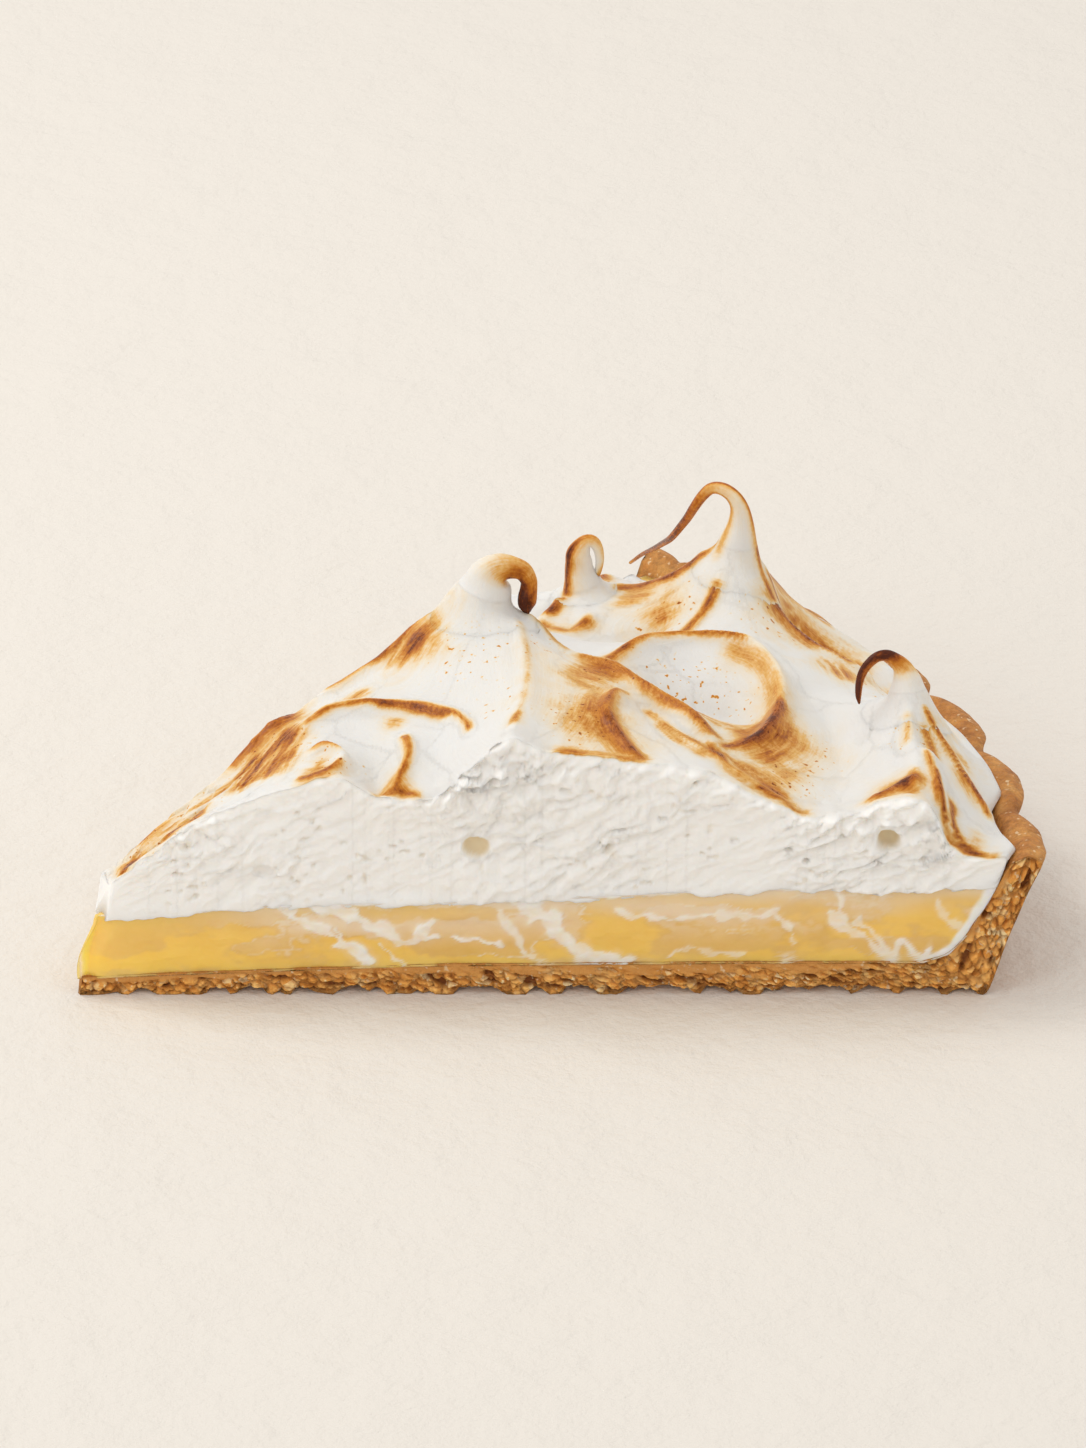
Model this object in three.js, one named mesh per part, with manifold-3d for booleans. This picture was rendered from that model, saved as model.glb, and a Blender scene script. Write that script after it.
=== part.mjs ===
// A slice of lemon meringue tart: a fluted pastry crust, a layer of lemon curd that shows at both cuts,
// and a swirled meringue top with four curled peaks.
//
// Millimetres, +Z up. While it is worked out, the slice's tip is at the origin, the near cut runs along +X
// and the far cut turns SLICE_ANGLE to the left of it. The group is then set so that the middle of the
// slice's underside is at the origin.

import * as THREE from 'three';
import { mergeVertices } from 'three/addons/utils/BufferGeometryUtils.js';
import Module from 'manifold-3d';

// ---- Driving dimensions ----

const SLICE_ANGLE = THREE.MathUtils.degToRad(52);
const TART_RADIUS = 120;
const FLUTES_ROUND_THE_TART = 42;
const FIRST_NOTCH = THREE.MathUtils.degToRad(6.8);
const FLUTE_DEPTH_AT_RIM = 2.2;
const FLUTE_DEPTH_AT_BASE = 0.5;
const FLUTE_SHARPNESS = 2.4;
const RIM_HEIGHT = 19;
const RIM_DROP_AT_FAR_CUT = 1.5;
const WALL_SETTLES_ABOVE = 8;
const RIM_SAG = { middle: THREE.MathUtils.degToRad(34.5), reach: THREE.MathUtils.degToRad(4), depth: 1.9 };
const LAYER_GAP = 0.3;

const FLUTE_PITCH = (2 * Math.PI) / FLUTES_ROUND_THE_TART;
const SINE = Math.sin(SLICE_ANGLE);
const COSINE = Math.cos(SLICE_ANGLE);

// ---- Crust: [radius, height] along its outside, over the rim, down its inside and along its floor ----

const CRUST_TIP = 0.6;
const CRUST_OUTSIDE = [
  [113, 0], [114.4, 3.7], [115.5, 7.3], [116.9, 11], [118.2, 14.4], [119.5, 17.4], [TART_RADIUS, 18.6],
];
const CRUST_RIM = [[119.2, RIM_HEIGHT], [117.7, 19], [116.4, 18.6], [115.1, 18]];
const CRUST_INSIDE = [[113.9, 15.6], [112.3, 12.3], [110.7, 10], [109.9, 8.2], [107.7, 5.8], [105.8, 4.8]];
const CRUST_FLOOR = [[82, 4.7], [43, 4.3], [25, 3.6], [6, 2.8], [1.2, 2.5]];
const STEPS_IN_A_FLUTE = 7;
const SHORTEST_STEP = 0.2;

// The crumb shows along the floor, then up through the foot and the wall.
const CRUMB_ROUTE = [[6, 1.4], [40, 2], [80, 2.4], [106, 2.4], [111.5, 5], [114.8, 12], [117, 17]];
const CRAGS_ON_A_CUT = 40;
const CRAG_SMALLEST = 0.5;
const CRAG_LARGEST = 1.3;
const CRAG_STRETCH = 0.7;
const CRAG_THICKNESS = 0.6;
const CRAG_LEAST_HEIGHT = 0.7;
const CRAG_MORE_HEIGHT = 0.4;
const CRAG_SCATTER = 0.9;
const HOLLOW_SHARE = 0.65;
const CRAG_SEED = 11;

// ---- Seam between curd and meringue: [radius, height] along a cut ----

const SEAM = [
  [0, 10.6], [10, 11.2], [24, 12.6], [43, 12.9], [62, 13.7], [85, 14.8], [103, 15.3], [116, 15.7],
];
const CURD_TIP_AT_FLOOR = 1.3;
const CURD_TIP_AT_SEAM = 3.3;
const CURD_EDGE_RADIUS = 112;
const CURD_WALL_GAP = 0.45;
const MERINGUE_TIP_AT_SEAM = 4;
const MERINGUE_TIP_AT_TOP = 5.4;

// ---- Meringue: its edge on the rim, and its height along the two cuts ----

// [degrees from the near cut, radius]
const MERINGUE_EDGE = [
  [0, 114.8], [1.5, 116.1], [4, 114.4], [6.6, 114.3], [9, 116.5], [17, 116.4], [22, 115.4], [27, 116.4],
  [33, 118], [38, 118.2], [41.5, 115.8], [46, 115.4], [52, 115.4],
];
const EDGE_ABOVE_RIM = 0.5;
// [radius, height]
const MERINGUE_WALL = [[113.2, 15.9], [113.9, 17.2], [114.5, 18.5]];
const NEAR_CUT_TOP = [
  [3.4, 14.6], [9.7, 20], [20.3, 26.6], [33.7, 30.5], [40.4, 26.6], [45.3, 27.2], [49, 31.6], [52.7, 35],
  [58.1, 33.4], [72.2, 32.2], [82, 29.1], [90, 24.7], [95.4, 25.4], [102.1, 28.1], [106, 25.6],
  [107.8, 19.6], [117, 19],
];
const FAR_CUT_TOP = [
  [3.4, 14.6], [14, 15.2], [29, 18.4], [45, 21.8], [66, 23.5], [76, 25], [84, 23.6], [92, 20.8], [100, 18.6],
  [108, 18], [117, 18],
];

// Crests of the swirls, each [x, y, height] points and the height of the bead that runs along it.
const BEAD_WIDTH = 1;
const BEAD_REACH = 3;
const BEAD_TAPER = 4;
const CRESTS = {
  peakRight: {
    bead: 0.7,
    points: [
      [55.5, 33, 39.5], [60, 29.5, 35.6], [64, 27, 33.4], [70.2, 21, 32.6], [76.5, 14, 31.7],
      [79.3, 8, 30.3],
    ],
  },
  peakLeft: { bead: 0.5, points: [[49.8, 33, 39.8], [43.7, 32, 35.6], [36.9, 28, 31.9], [27.6, 22, 28.7]] },
  peakFront: { bead: 0.3, points: [[53.1, 32, 39.2], [54.9, 29, 36.9], [56, 15, 35.9], [54, 1, 36.5]] },
  peakBack: { bead: 0.4, points: [[51, 35, 38.5], [48, 42, 32], [45, 50, 26]] },
  scoopTop: {
    bead: 0.9,
    points: [[27.9, 13, 30.7], [34, 17, 31.2], [39.8, 17, 31.1], [45.8, 14, 31.7], [48.2, 8, 32.2]],
  },
  scoopTee: { bead: 0.6, points: [[40.8, 10, 31.2], [41.2, 7, 30.1], [39.2, 1, 27.1]] },
  scoopCurl: {
    bead: 0.7,
    points: [[27.3, 2, 28.9], [32.1, 1.6, 30.2], [33.5, 4.5, 30.5], [32, 7, 30.6], [28.7, 6, 29.9]],
  },
  tipRidge: {
    bead: 0.5,
    points: [[27.6, 22, 28.2], [24.6, 19, 28.3], [19.7, 15.5, 24.1], [13.6, 11, 20.1], [7, 4.5, 16.3]],
  },
  stalkLeft: { bead: 0.5, points: [[60.7, 60, 29.6], [60.3, 59, 27.6], [57.6, 53, 25.9]] },
  stalkBowl: { bead: 0.6, points: [[58.5, 51, 25.6], [61.1, 49, 25.3], [63.7, 52, 26.3]] },
  stalkRight: {
    bead: 0.5,
    points: [
      [64.2, 60.5, 29.3], [65.8, 61, 27.5], [69.8, 60, 27.3], [73.8, 58, 29.7], [78.8, 56.5, 34.5],
      [81.7, 56, 39.4],
    ],
  },
  stalkBack: { bead: 0.4, points: [[61.5, 62, 27.5], [63, 70, 23], [67, 80, 19.8]] },
  sailRight: {
    bead: 0.6,
    points: [[84.4, 55, 40.4], [85.2, 55, 36.4], [86.9, 53, 29.5], [91.4, 49, 25.2], [99.3, 45, 23.1]],
  },
  sailMiddle: {
    bead: 0.4,
    points: [[83, 54.6, 40.3], [81.5, 52.3, 35.5], [80.1, 50.5, 32.2], [76.3, 44, 29.2]],
  },
  sailBack: { bead: 0.5, points: [[83.5, 57, 36], [87, 64, 27], [89.5, 72, 20.5]] },
  backSwirl: { bead: 0.6, points: [[70, 62, 26.6], [76, 70, 25], [75, 80, 21.5], [69, 84, 19.6]] },
  bowlRim: {
    bead: 0.9,
    points: [
      [65, 28, 31.8], [69.6, 35, 31.2], [77, 39.5, 30], [84.2, 38.5, 29.5], [87.6, 30.5, 28.9],
      [86.8, 19, 28.7], [83.6, 12.5, 28.5], [79.3, 8, 30.3],
    ],
  },
  bowlLip: { bead: 0.6, points: [[79.3, 8, 30.3], [80.1, 4.5, 29.6], [85.7, 1.6, 26.5]] },
  hookRight: {
    bead: 0.7,
    points: [[103.5, 24, 33.3], [104.9, 21, 29.5], [109, 15.5, 24.3], [113.8, 6, 19.6]],
  },
  hookLeft: { bead: 0.2, points: [[101.4, 23, 33.8], [99.1, 21, 28.3], [98, 18, 25.6]] },
  hookFront: { bead: 0.3, points: [[102.6, 22, 31.2], [103.3, 17, 28.9], [103.6, 4, 27.6]] },
  cornerFold: { bead: 0.5, points: [[105.6, 12, 28.6], [106.8, 4.5, 26.3], [107.3, 1, 21]] },
  slopeFold: {
    bead: 0.6,
    points: [[68.5, 20, 32.2], [65.8, 10, 33.7], [67, 6.5, 32.8], [70.7, 0.6, 31.8]],
  },
  rimSwell: { bead: 0.3, points: [[110, 26, 22], [105, 40, 22.6], [96, 56, 22]] },
};

const HOLLOWS = {
  bowlFloor: [[71.5, 27.5, 27.6], [76, 27, 26.2], [84, 22, 25.8]],
  betweenPeaks: [[60, 46, 27.5], [66, 47, 25], [72, 48, 24.5]],
  behindPeaks: [[55, 54, 24.6], [68, 71, 21.4]],
  trough: [[90.2, 32, 26.4], [94.2, 17.5, 25.1], [93.8, 4, 24.6]],
  cornerScoop: [[108.3, 7, 23.5], [108.8, 3.6, 21.8], [110.1, 1.8, 20]],
  scoopFloor: [[31.7, 9.5, 31.2], [36, 8, 30.6], [36.9, 4, 28.4], [37.3, 1, 26.9]],
  scoopFloorRight: [[44, 7, 31.7], [45.3, 3, 29.6]],
};

// Curled peaks: [x, y, height, thickness radius] from deep in the meringue to the drawn-out end.
const CURLED_PEAKS = {
  left: [
    [51.7, 33, 37, 2.3], [51.7, 33, 39.6, 2.2], [52, 33, 41.7, 1.9], [53, 33, 43, 1.5],
    [54.5, 32.7, 43.2, 1.2], [56, 32.2, 42.1, 1], [56.3, 31.8, 40.2, 0.8],
  ],
  tall: [
    [62.5, 60, 23, 2.5], [62.5, 60, 27, 2.1], [62.4, 60, 30.7, 1.5], [62.8, 60, 33, 1.1],
    [64.1, 60, 33.5, 0.8], [65.2, 60, 31.8, 0.6], [64.9, 60, 29.4, 0.4],
  ],
  sail: [
    [83, 55, 35, 1.8], [83.2, 55, 38.3, 1.5], [83, 55, 40.9, 1.2], [81.6, 55.8, 42.9, 0.9],
    [79.4, 57.5, 42.4, 0.8], [77.5, 60.3, 38.9, 0.7], [75.9, 64.5, 34.4, 0.6],
  ],
  right: [
    [103, 23.2, 29, 1.8], [102.7, 23.4, 32.2, 1.4], [101.7, 24, 34.3, 0.9], [100, 23.7, 35.1, 0.7],
    [98.1, 22.7, 34.1, 0.6], [97.2, 21.4, 32, 0.5], [97.2, 20.3, 30.4, 0.3],
  ],
};

// Each peak rises from a cone: its middle [x, y], the height there, and how far it has fallen [out, down].
const NECKS = [[52, 33, 41.3], [62.5, 60, 27.8], [83.1, 55.2, 40.2], [102.8, 23.4, 32.6]];
const NECK_FALL = [[0, 0], [1.4, 0.9], [2.4, 2.8], [3.4, 4.6]];
const NECK_PINS = 24;

const STEPS_ALONG_A_PEAK = 12;
const SIDES_OF_A_PEAK = 7;
const THINNEST_PEAK = 0.25;

// The top is worked out on a square grid of heights, then read back along rays from the tip.
const GRID_STEP = 1;
const GRID_MARGIN = 2;
const PIN_SPACING = 0.4;
const FIRST_GUESS = 25;
const RELAX_ROUNDS = 260;
const OVER_RELAX = 1.85;
const MERINGUE_STEPS_OUT = 50;
const MERINGUE_STEPS_ROUND = 34;
const CUT_RELIEF = 0.35;
const RELIEF_SEED = 5;
const CURD_STEPS_OUT = 12;
const CURD_STEPS_ROUND = 14;
const CURD_ROWS = 4;

// ---- Small helpers ----

const SAME_POINT = 1e-4;
const DRAW_FACTOR = 48271;
const DRAW_LIMIT = 2147483647;

// Straight-line reading of a list of [position, value] pairs.
function readAlong(pairs, position) {
  let k = 1;
  while (k < pairs.length - 1 && pairs[k][0] < position) {
    k += 1;
  }
  const [p0, v0] = pairs[k - 1];
  const [p1, v1] = pairs[k];
  const t = THREE.MathUtils.clamp((position - p0) / (p1 - p0), 0, 1);
  return v0 + (v1 - v0) * t;
}

// A repeatable draw of numbers from 0 to 1.
function seededDraw(seed) {
  let state = seed;
  return () => {
    state = (state * DRAW_FACTOR) % DRAW_LIMIT;
    return state / DRAW_LIMIT;
  };
}

// A point on the ray at the given angle from the near cut.
function polar(radius, angle, height) {
  return new THREE.Vector3(radius * Math.cos(angle), radius * Math.sin(angle), height);
}

// The rim and what lies on it sit lower towards the far cut and in one sagging place, as the crust slumped
// in baking.
function settle(height, angle) {
  const rise = (height - WALL_SETTLES_ABOVE) / (RIM_HEIGHT - WALL_SETTLES_ABOVE);
  const share = THREE.MathUtils.clamp(rise, 0, 1);
  const slump = RIM_DROP_AT_FAR_CUT * (angle / SLICE_ANGLE) ** 2;
  const sag = RIM_SAG.depth * Math.exp(-(((angle - RIM_SAG.middle) / RIM_SAG.reach) ** 2));
  return height - share * (slump + sag);
}

// Collects triangles, leaving out any that closes up to nothing.
class Skin {
  constructor() {
    this.corners = [];
  }

  triangle(a, b, c) {
    const shortest = Math.min(a.distanceTo(b), b.distanceTo(c), c.distanceTo(a));
    if (shortest > SAME_POINT) {
      this.corners.push(...a.toArray(), ...b.toArray(), ...c.toArray());
    }
  }

  quad(a, b, c, d) {
    this.triangle(a, b, c);
    this.triangle(a, c, d);
  }

  geometry() {
    const soup = new THREE.BufferGeometry();
    soup.setAttribute('position', new THREE.Float32BufferAttribute(this.corners, 3));
    return mergeVertices(soup, SAME_POINT);
  }
}

// ---- Manifold-3d, for joining and cutting only ----

const wasm = await Module();
wasm.setup();

function toSolid(geometry) {
  const bare = new THREE.BufferGeometry();
  bare.setAttribute('position', geometry.getAttribute('position'));
  if (geometry.index) {
    bare.setIndex(geometry.index);
  }
  const merged = mergeVertices(bare, SAME_POINT);
  return new wasm.Manifold(new wasm.Mesh({
    numProp: 3,
    vertProperties: new Float32Array(merged.getAttribute('position').array),
    triVerts: new Uint32Array(merged.index.array),
  }));
}

function toGeometry(solid) {
  const mesh = solid.getMesh();
  const geometry = new THREE.BufferGeometry();
  geometry.setAttribute('position', new THREE.Float32BufferAttribute(mesh.vertProperties, 3));
  geometry.setIndex(new THREE.Uint32BufferAttribute(mesh.triVerts, 1));
  return geometry;
}

// ---- Crust ----

// Each flute bulges out between two notches, deeper towards the rim.
function fluteInset(angle, height) {
  const turn = (angle - FIRST_NOTCH) / FLUTE_PITCH;
  const across = 2 * (turn - Math.floor(turn)) - 1;
  const depth = THREE.MathUtils.lerp(FLUTE_DEPTH_AT_BASE, FLUTE_DEPTH_AT_RIM, height / RIM_HEIGHT);
  return depth * Math.abs(across) ** FLUTE_SHARPNESS;
}

// The crust's closed section at an angle, anticlockwise when seen with the tip on the left.
function crustSection(angle) {
  const outside = CRUST_OUTSIDE.map(([r, z]) => polar(r - fluteInset(angle, z), angle, settle(z, angle)));
  const rim = CRUST_RIM.map(([r, z], k) => {
    const share = 1 - k / CRUST_RIM.length;
    return polar(r - share * fluteInset(angle, z), angle, settle(z, angle));
  });
  const inside = CRUST_INSIDE.map(([r, z]) => polar(r, angle, settle(z, angle)));
  const floor = CRUST_FLOOR.map(([r, z]) => polar(r, angle, z));
  return [polar(CRUST_TIP, angle, 0), ...outside, ...rim, ...inside, ...floor];
}

function anglesOfTheFlutes() {
  const step = FLUTE_PITCH / STEPS_IN_A_FLUTE;
  const angles = [0];
  for (let angle = FIRST_NOTCH % step; angle < SLICE_ANGLE; angle += step) {
    if (angle > SHORTEST_STEP * step && angle < SLICE_ANGLE - SHORTEST_STEP * step) {
      angles.push(angle);
    }
  }
  return [...angles, SLICE_ANGLE];
}

function capSection(skin, section, angle, facesNear) {
  const flat = section.map((p) => new THREE.Vector2(Math.hypot(p.x, p.y), p.z));
  for (const [a, b, c] of THREE.ShapeUtils.triangulateShape(flat, [])) {
    const corners = [section[a], section[b], section[c]];
    if (facesNear) {
      skin.triangle(...corners);
    } else {
      skin.triangle(...corners.reverse());
    }
  }
}

// A rough little lump for the crumb of the pastry, wider than it is thick.
function crag(draw, size, place) {
  const lump = new THREE.IcosahedronGeometry(size, 0);
  lump.rotateX(Math.PI * draw());
  lump.rotateY(Math.PI * draw());
  lump.scale(1 + CRAG_STRETCH * draw(), CRAG_THICKNESS, CRAG_LEAST_HEIGHT + CRAG_MORE_HEIGHT * draw());
  lump.translate(place.x, place.y, place.z);
  return toSolid(lump);
}

function cragPlace(share) {
  const curve = new THREE.CatmullRomCurve3(CRUMB_ROUTE.map(([r, z]) => new THREE.Vector3(r, 0, z)));
  return curve.getPoint(share);
}

function buildCrust() {
  const skin = new Skin();
  const angles = anglesOfTheFlutes();
  const sections = angles.map(crustSection);
  for (let j = 1; j < sections.length; j += 1) {
    const here = sections[j - 1];
    const next = sections[j];
    for (let i = 0; i < here.length; i += 1) {
      const k = (i + 1) % here.length;
      skin.quad(here[i], next[i], next[k], here[k]);
    }
  }
  capSection(skin, sections[0], 0, true);
  capSection(skin, sections.at(-1), SLICE_ANGLE, false);
  const crumbs = [];
  const holes = [];
  const draw = seededDraw(CRAG_SEED);
  for (const angle of [0, SLICE_ANGLE]) {
    for (let k = 0; k < CRAGS_ON_A_CUT; k += 1) {
      const size = THREE.MathUtils.lerp(CRAG_SMALLEST, CRAG_LARGEST, draw() ** 2);
      const middle = cragPlace((k + draw()) / CRAGS_ON_A_CUT);
      const height = middle.z + CRAG_SCATTER * (draw() - 0.5);
      const lump = crag(draw, size, new THREE.Vector3(middle.x, 0, height));
      const turned = lump.rotate([0, 0, THREE.MathUtils.radToDeg(angle)]);
      (draw() < HOLLOW_SHARE ? holes : crumbs).push(turned);
    }
  }
  const whole = crumbs.reduce((solid, lump) => solid.add(lump), toSolid(skin.geometry()));
  return toGeometry(holes.reduce((solid, lump) => solid.subtract(lump), whole));
}

// ---- A layer of the slice: rows of one loop each from its underside to its top ----

// place(share outward, angle) gives a point; the loop runs out along the near cut, round the outer side and
// back along the far cut.
function layerLoop(stepsOut, stepsRound, place) {
  const loop = [];
  for (let i = 0; i <= stepsOut; i += 1) {
    loop.push(place(i / stepsOut, 0));
  }
  for (let j = 1; j < stepsRound; j += 1) {
    loop.push(place(1, (SLICE_ANGLE * j) / stepsRound));
  }
  for (let i = stepsOut; i >= 0; i -= 1) {
    loop.push(place(i / stepsOut, SLICE_ANGLE));
  }
  return loop;
}

function addSides(skin, loops) {
  for (let row = 1; row < loops.length; row += 1) {
    const low = loops[row - 1];
    const high = loops[row];
    for (let i = 0; i < low.length; i += 1) {
      const k = (i + 1) % low.length;
      skin.quad(low[i], low[k], high[k], high[i]);
    }
  }
}

// A flat-ruled face from cut to cut, and the segment left between the last rule and the outer side.
function addRuledFace(skin, loop, stepsOut, facesUp) {
  const add = (a, b, c) => (facesUp ? skin.triangle(a, b, c) : skin.triangle(c, b, a));
  const last = loop.length - 1;
  for (let i = 0; i < stepsOut; i += 1) {
    add(loop[i], loop[i + 1], loop[last - i - 1]);
    add(loop[i], loop[last - i - 1], loop[last - i]);
  }
  for (let k = stepsOut + 1; k < last - stepsOut; k += 1) {
    add(loop[stepsOut], loop[k], loop[k + 1]);
  }
}

// ---- Lemon curd ----

function insideWallRadius(height) {
  const wall = [...CRUST_INSIDE].reverse().map(([r, z]) => [z, r]);
  return readAlong(wall, height);
}

function floorHeight(radius) {
  return readAlong([...CRUST_FLOOR].reverse(), radius);
}

function curdPoint(share, angle, up) {
  const bottomAt = (radius) => floorHeight(radius) + LAYER_GAP;
  const topAt = (radius) => readAlong(SEAM, radius) - LAYER_GAP / 2;
  const wallHeight = THREE.MathUtils.lerp(bottomAt(CURD_EDGE_RADIUS), topAt(CURD_EDGE_RADIUS), up);
  const wallRadius = insideWallRadius(wallHeight) - CURD_WALL_GAP;
  const tip = THREE.MathUtils.lerp(CURD_TIP_AT_FLOOR, CURD_TIP_AT_SEAM, up);
  const radius = THREE.MathUtils.lerp(tip, wallRadius, share);
  const height = THREE.MathUtils.lerp(bottomAt(radius), topAt(radius), up);
  return polar(radius, angle, settle(share === 1 ? wallHeight : height, angle));
}

function buildCurd() {
  const loops = [];
  for (let row = 0; row <= CURD_ROWS; row += 1) {
    const place = (share, angle) => curdPoint(share, angle, row / CURD_ROWS);
    loops.push(layerLoop(CURD_STEPS_OUT, CURD_STEPS_ROUND, place));
  }
  const skin = new Skin();
  addSides(skin, loops);
  addRuledFace(skin, loops[0], CURD_STEPS_OUT, false);
  addRuledFace(skin, loops.at(-1), CURD_STEPS_OUT, true);
  return skin.geometry();
}

// ---- Meringue: a height field stretched like a skin over the crests and hollows ----

const COLUMNS = Math.ceil((TART_RADIUS + 2 * GRID_MARGIN) / GRID_STEP) + 1;
const ROWS = Math.ceil((TART_RADIUS * SINE + 2 * GRID_MARGIN) / GRID_STEP) + 1;

const nodeAt = (column, row) => row * COLUMNS + column;
const toColumn = (x) => Math.round((x + GRID_MARGIN) / GRID_STEP);
const toRow = (y) => Math.round((y + GRID_MARGIN) / GRID_STEP);

function curveThrough(points) {
  const curve = new THREE.CatmullRomCurve3(points.map((p) => new THREE.Vector3(...p)));
  return curve.getSpacedPoints(Math.ceil(curve.getLength() / PIN_SPACING));
}

function pin(field, held, p) {
  const node = nodeAt(toColumn(p.x), toRow(p.y));
  field[node] = p.z;
  held[node] = 1;
}

function pinNecks(field, held) {
  for (const [x, y, height] of NECKS) {
    for (const [out, down] of NECK_FALL) {
      for (let k = 0; k < NECK_PINS; k += 1) {
        const turn = (2 * Math.PI * k) / NECK_PINS;
        const spot = new THREE.Vector3(x + out * Math.cos(turn), y + out * Math.sin(turn), height - down);
        pin(field, held, spot);
      }
    }
  }
}

function edgeRadius(angle) {
  return readAlong(MERINGUE_EDGE, THREE.MathUtils.radToDeg(angle));
}

function pinOutline(field, held) {
  for (let r = 0; r <= TART_RADIUS; r += PIN_SPACING) {
    pin(field, held, polar(r, 0, readAlong(NEAR_CUT_TOP, r)));
    pin(field, held, polar(r, SLICE_ANGLE, readAlong(FAR_CUT_TOP, r)));
  }
  const step = PIN_SPACING / TART_RADIUS;
  for (let angle = 0; angle <= SLICE_ANGLE; angle += step) {
    pin(field, held, polar(edgeRadius(angle), angle, settle(RIM_HEIGHT, angle) + EDGE_ABOVE_RIM));
  }
}

// Each free node moves to the mean of its neighbours, round after round, so the skin is as taut as it can be.
function relax(field, held) {
  for (let round = 0; round < RELAX_ROUNDS; round += 1) {
    for (let row = 0; row < ROWS; row += 1) {
      for (let column = 0; column < COLUMNS; column += 1) {
        const node = nodeAt(column, row);
        if (held[node]) {
          continue;
        }
        const west = field[nodeAt(Math.max(column - 1, 0), row)];
        const east = field[nodeAt(Math.min(column + 1, COLUMNS - 1), row)];
        const south = field[nodeAt(column, Math.max(row - 1, 0))];
        const north = field[nodeAt(column, Math.min(row + 1, ROWS - 1))];
        field[node] += OVER_RELAX * ((west + east + south + north) / 4 - field[node]);
      }
    }
  }
}

// A rounded bead raised along a crest, fading to nothing at both ends of it.
function addBead(field, line, bead) {
  const reach = Math.ceil((BEAD_REACH * BEAD_WIDTH) / GRID_STEP);
  const lift = new Map();
  line.forEach((p, k) => {
    const taper = Math.min(1, (BEAD_TAPER * Math.min(k, line.length - 1 - k)) / line.length);
    for (let row = toRow(p.y) - reach; row <= toRow(p.y) + reach; row += 1) {
      for (let column = toColumn(p.x) - reach; column <= toColumn(p.x) + reach; column += 1) {
        const away = Math.hypot(column * GRID_STEP - GRID_MARGIN - p.x, row * GRID_STEP - GRID_MARGIN - p.y);
        const here = bead * taper * Math.exp(-((away / BEAD_WIDTH) ** 2) / 2);
        const node = nodeAt(column, row);
        lift.set(node, Math.max(lift.get(node) ?? 0, here));
      }
    }
  });
  for (const [node, height] of lift) {
    field[node] += height;
  }
}

function stretchTop() {
  const field = new Float64Array(COLUMNS * ROWS).fill(FIRST_GUESS);
  const held = new Uint8Array(COLUMNS * ROWS);
  pinOutline(field, held);
  const crests = Object.values(CRESTS).map(({ bead, points }) => ({ bead, line: curveThrough(points) }));
  const lines = [...crests.map((crest) => crest.line), ...Object.values(HOLLOWS).map(curveThrough)];
  for (const p of lines.flat()) {
    pin(field, held, p);
  }
  pinNecks(field, held);
  relax(field, held);
  for (const { line, bead } of crests) {
    addBead(field, line, bead);
  }
  return field;
}

const TOP_FIELD = stretchTop();

function topHeight(x, y) {
  const column = (x + GRID_MARGIN) / GRID_STEP;
  const row = (y + GRID_MARGIN) / GRID_STEP;
  const c = Math.floor(column);
  const r = Math.floor(row);
  const across = (node) => THREE.MathUtils.lerp(TOP_FIELD[node], TOP_FIELD[node + 1], column - c);
  return THREE.MathUtils.lerp(across(nodeAt(c, r)), across(nodeAt(c, r + 1)), row - r);
}

function topPoint(share, angle) {
  const radius = THREE.MathUtils.lerp(MERINGUE_TIP_AT_TOP, edgeRadius(angle), share);
  const flat = polar(radius, angle, 0);
  const onRim = settle(RIM_HEIGHT, angle) + EDGE_ABOVE_RIM;
  return flat.setZ(share === 1 ? onRim : topHeight(flat.x, flat.y));
}

// The torn face of a cut stands in and out a little between its top and bottom edges.
function tornPoint(share, angle, row, draw) {
  const up = row / MERINGUE_WALL.length;
  const foot = MERINGUE_WALL[0][0];
  const bottomRadius = THREE.MathUtils.lerp(MERINGUE_TIP_AT_SEAM, foot, share);
  const top = topPoint(share, angle);
  if (share === 1) {
    return polar(MERINGUE_WALL[row][0], angle, settle(MERINGUE_WALL[row][1], angle));
  }
  const bottom = polar(bottomRadius, angle, readAlong(SEAM, bottomRadius) + LAYER_GAP / 2);
  const point = bottom.setZ(settle(bottom.z, angle)).lerp(top, up);
  const out = row > 0 && share > 0 ? CUT_RELIEF * (2 * draw() - 1) : 0;
  const side = angle === 0 ? new THREE.Vector3(0, -out, 0) : new THREE.Vector3(-SINE * out, COSINE * out, 0);
  return point.add(side);
}

function addTop(skin) {
  const at = (i, j) => {
    const nearestCut = j < MERINGUE_STEPS_ROUND / 2 ? 0 : SLICE_ANGLE;
    const angle = i === 0 ? nearestCut : (SLICE_ANGLE * j) / MERINGUE_STEPS_ROUND;
    return topPoint(i / MERINGUE_STEPS_OUT, angle);
  };
  for (let i = 0; i < MERINGUE_STEPS_OUT; i += 1) {
    for (let j = 0; j < MERINGUE_STEPS_ROUND; j += 1) {
      skin.quad(at(i, j), at(i + 1, j), at(i + 1, j + 1), at(i, j + 1));
    }
  }
}

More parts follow.
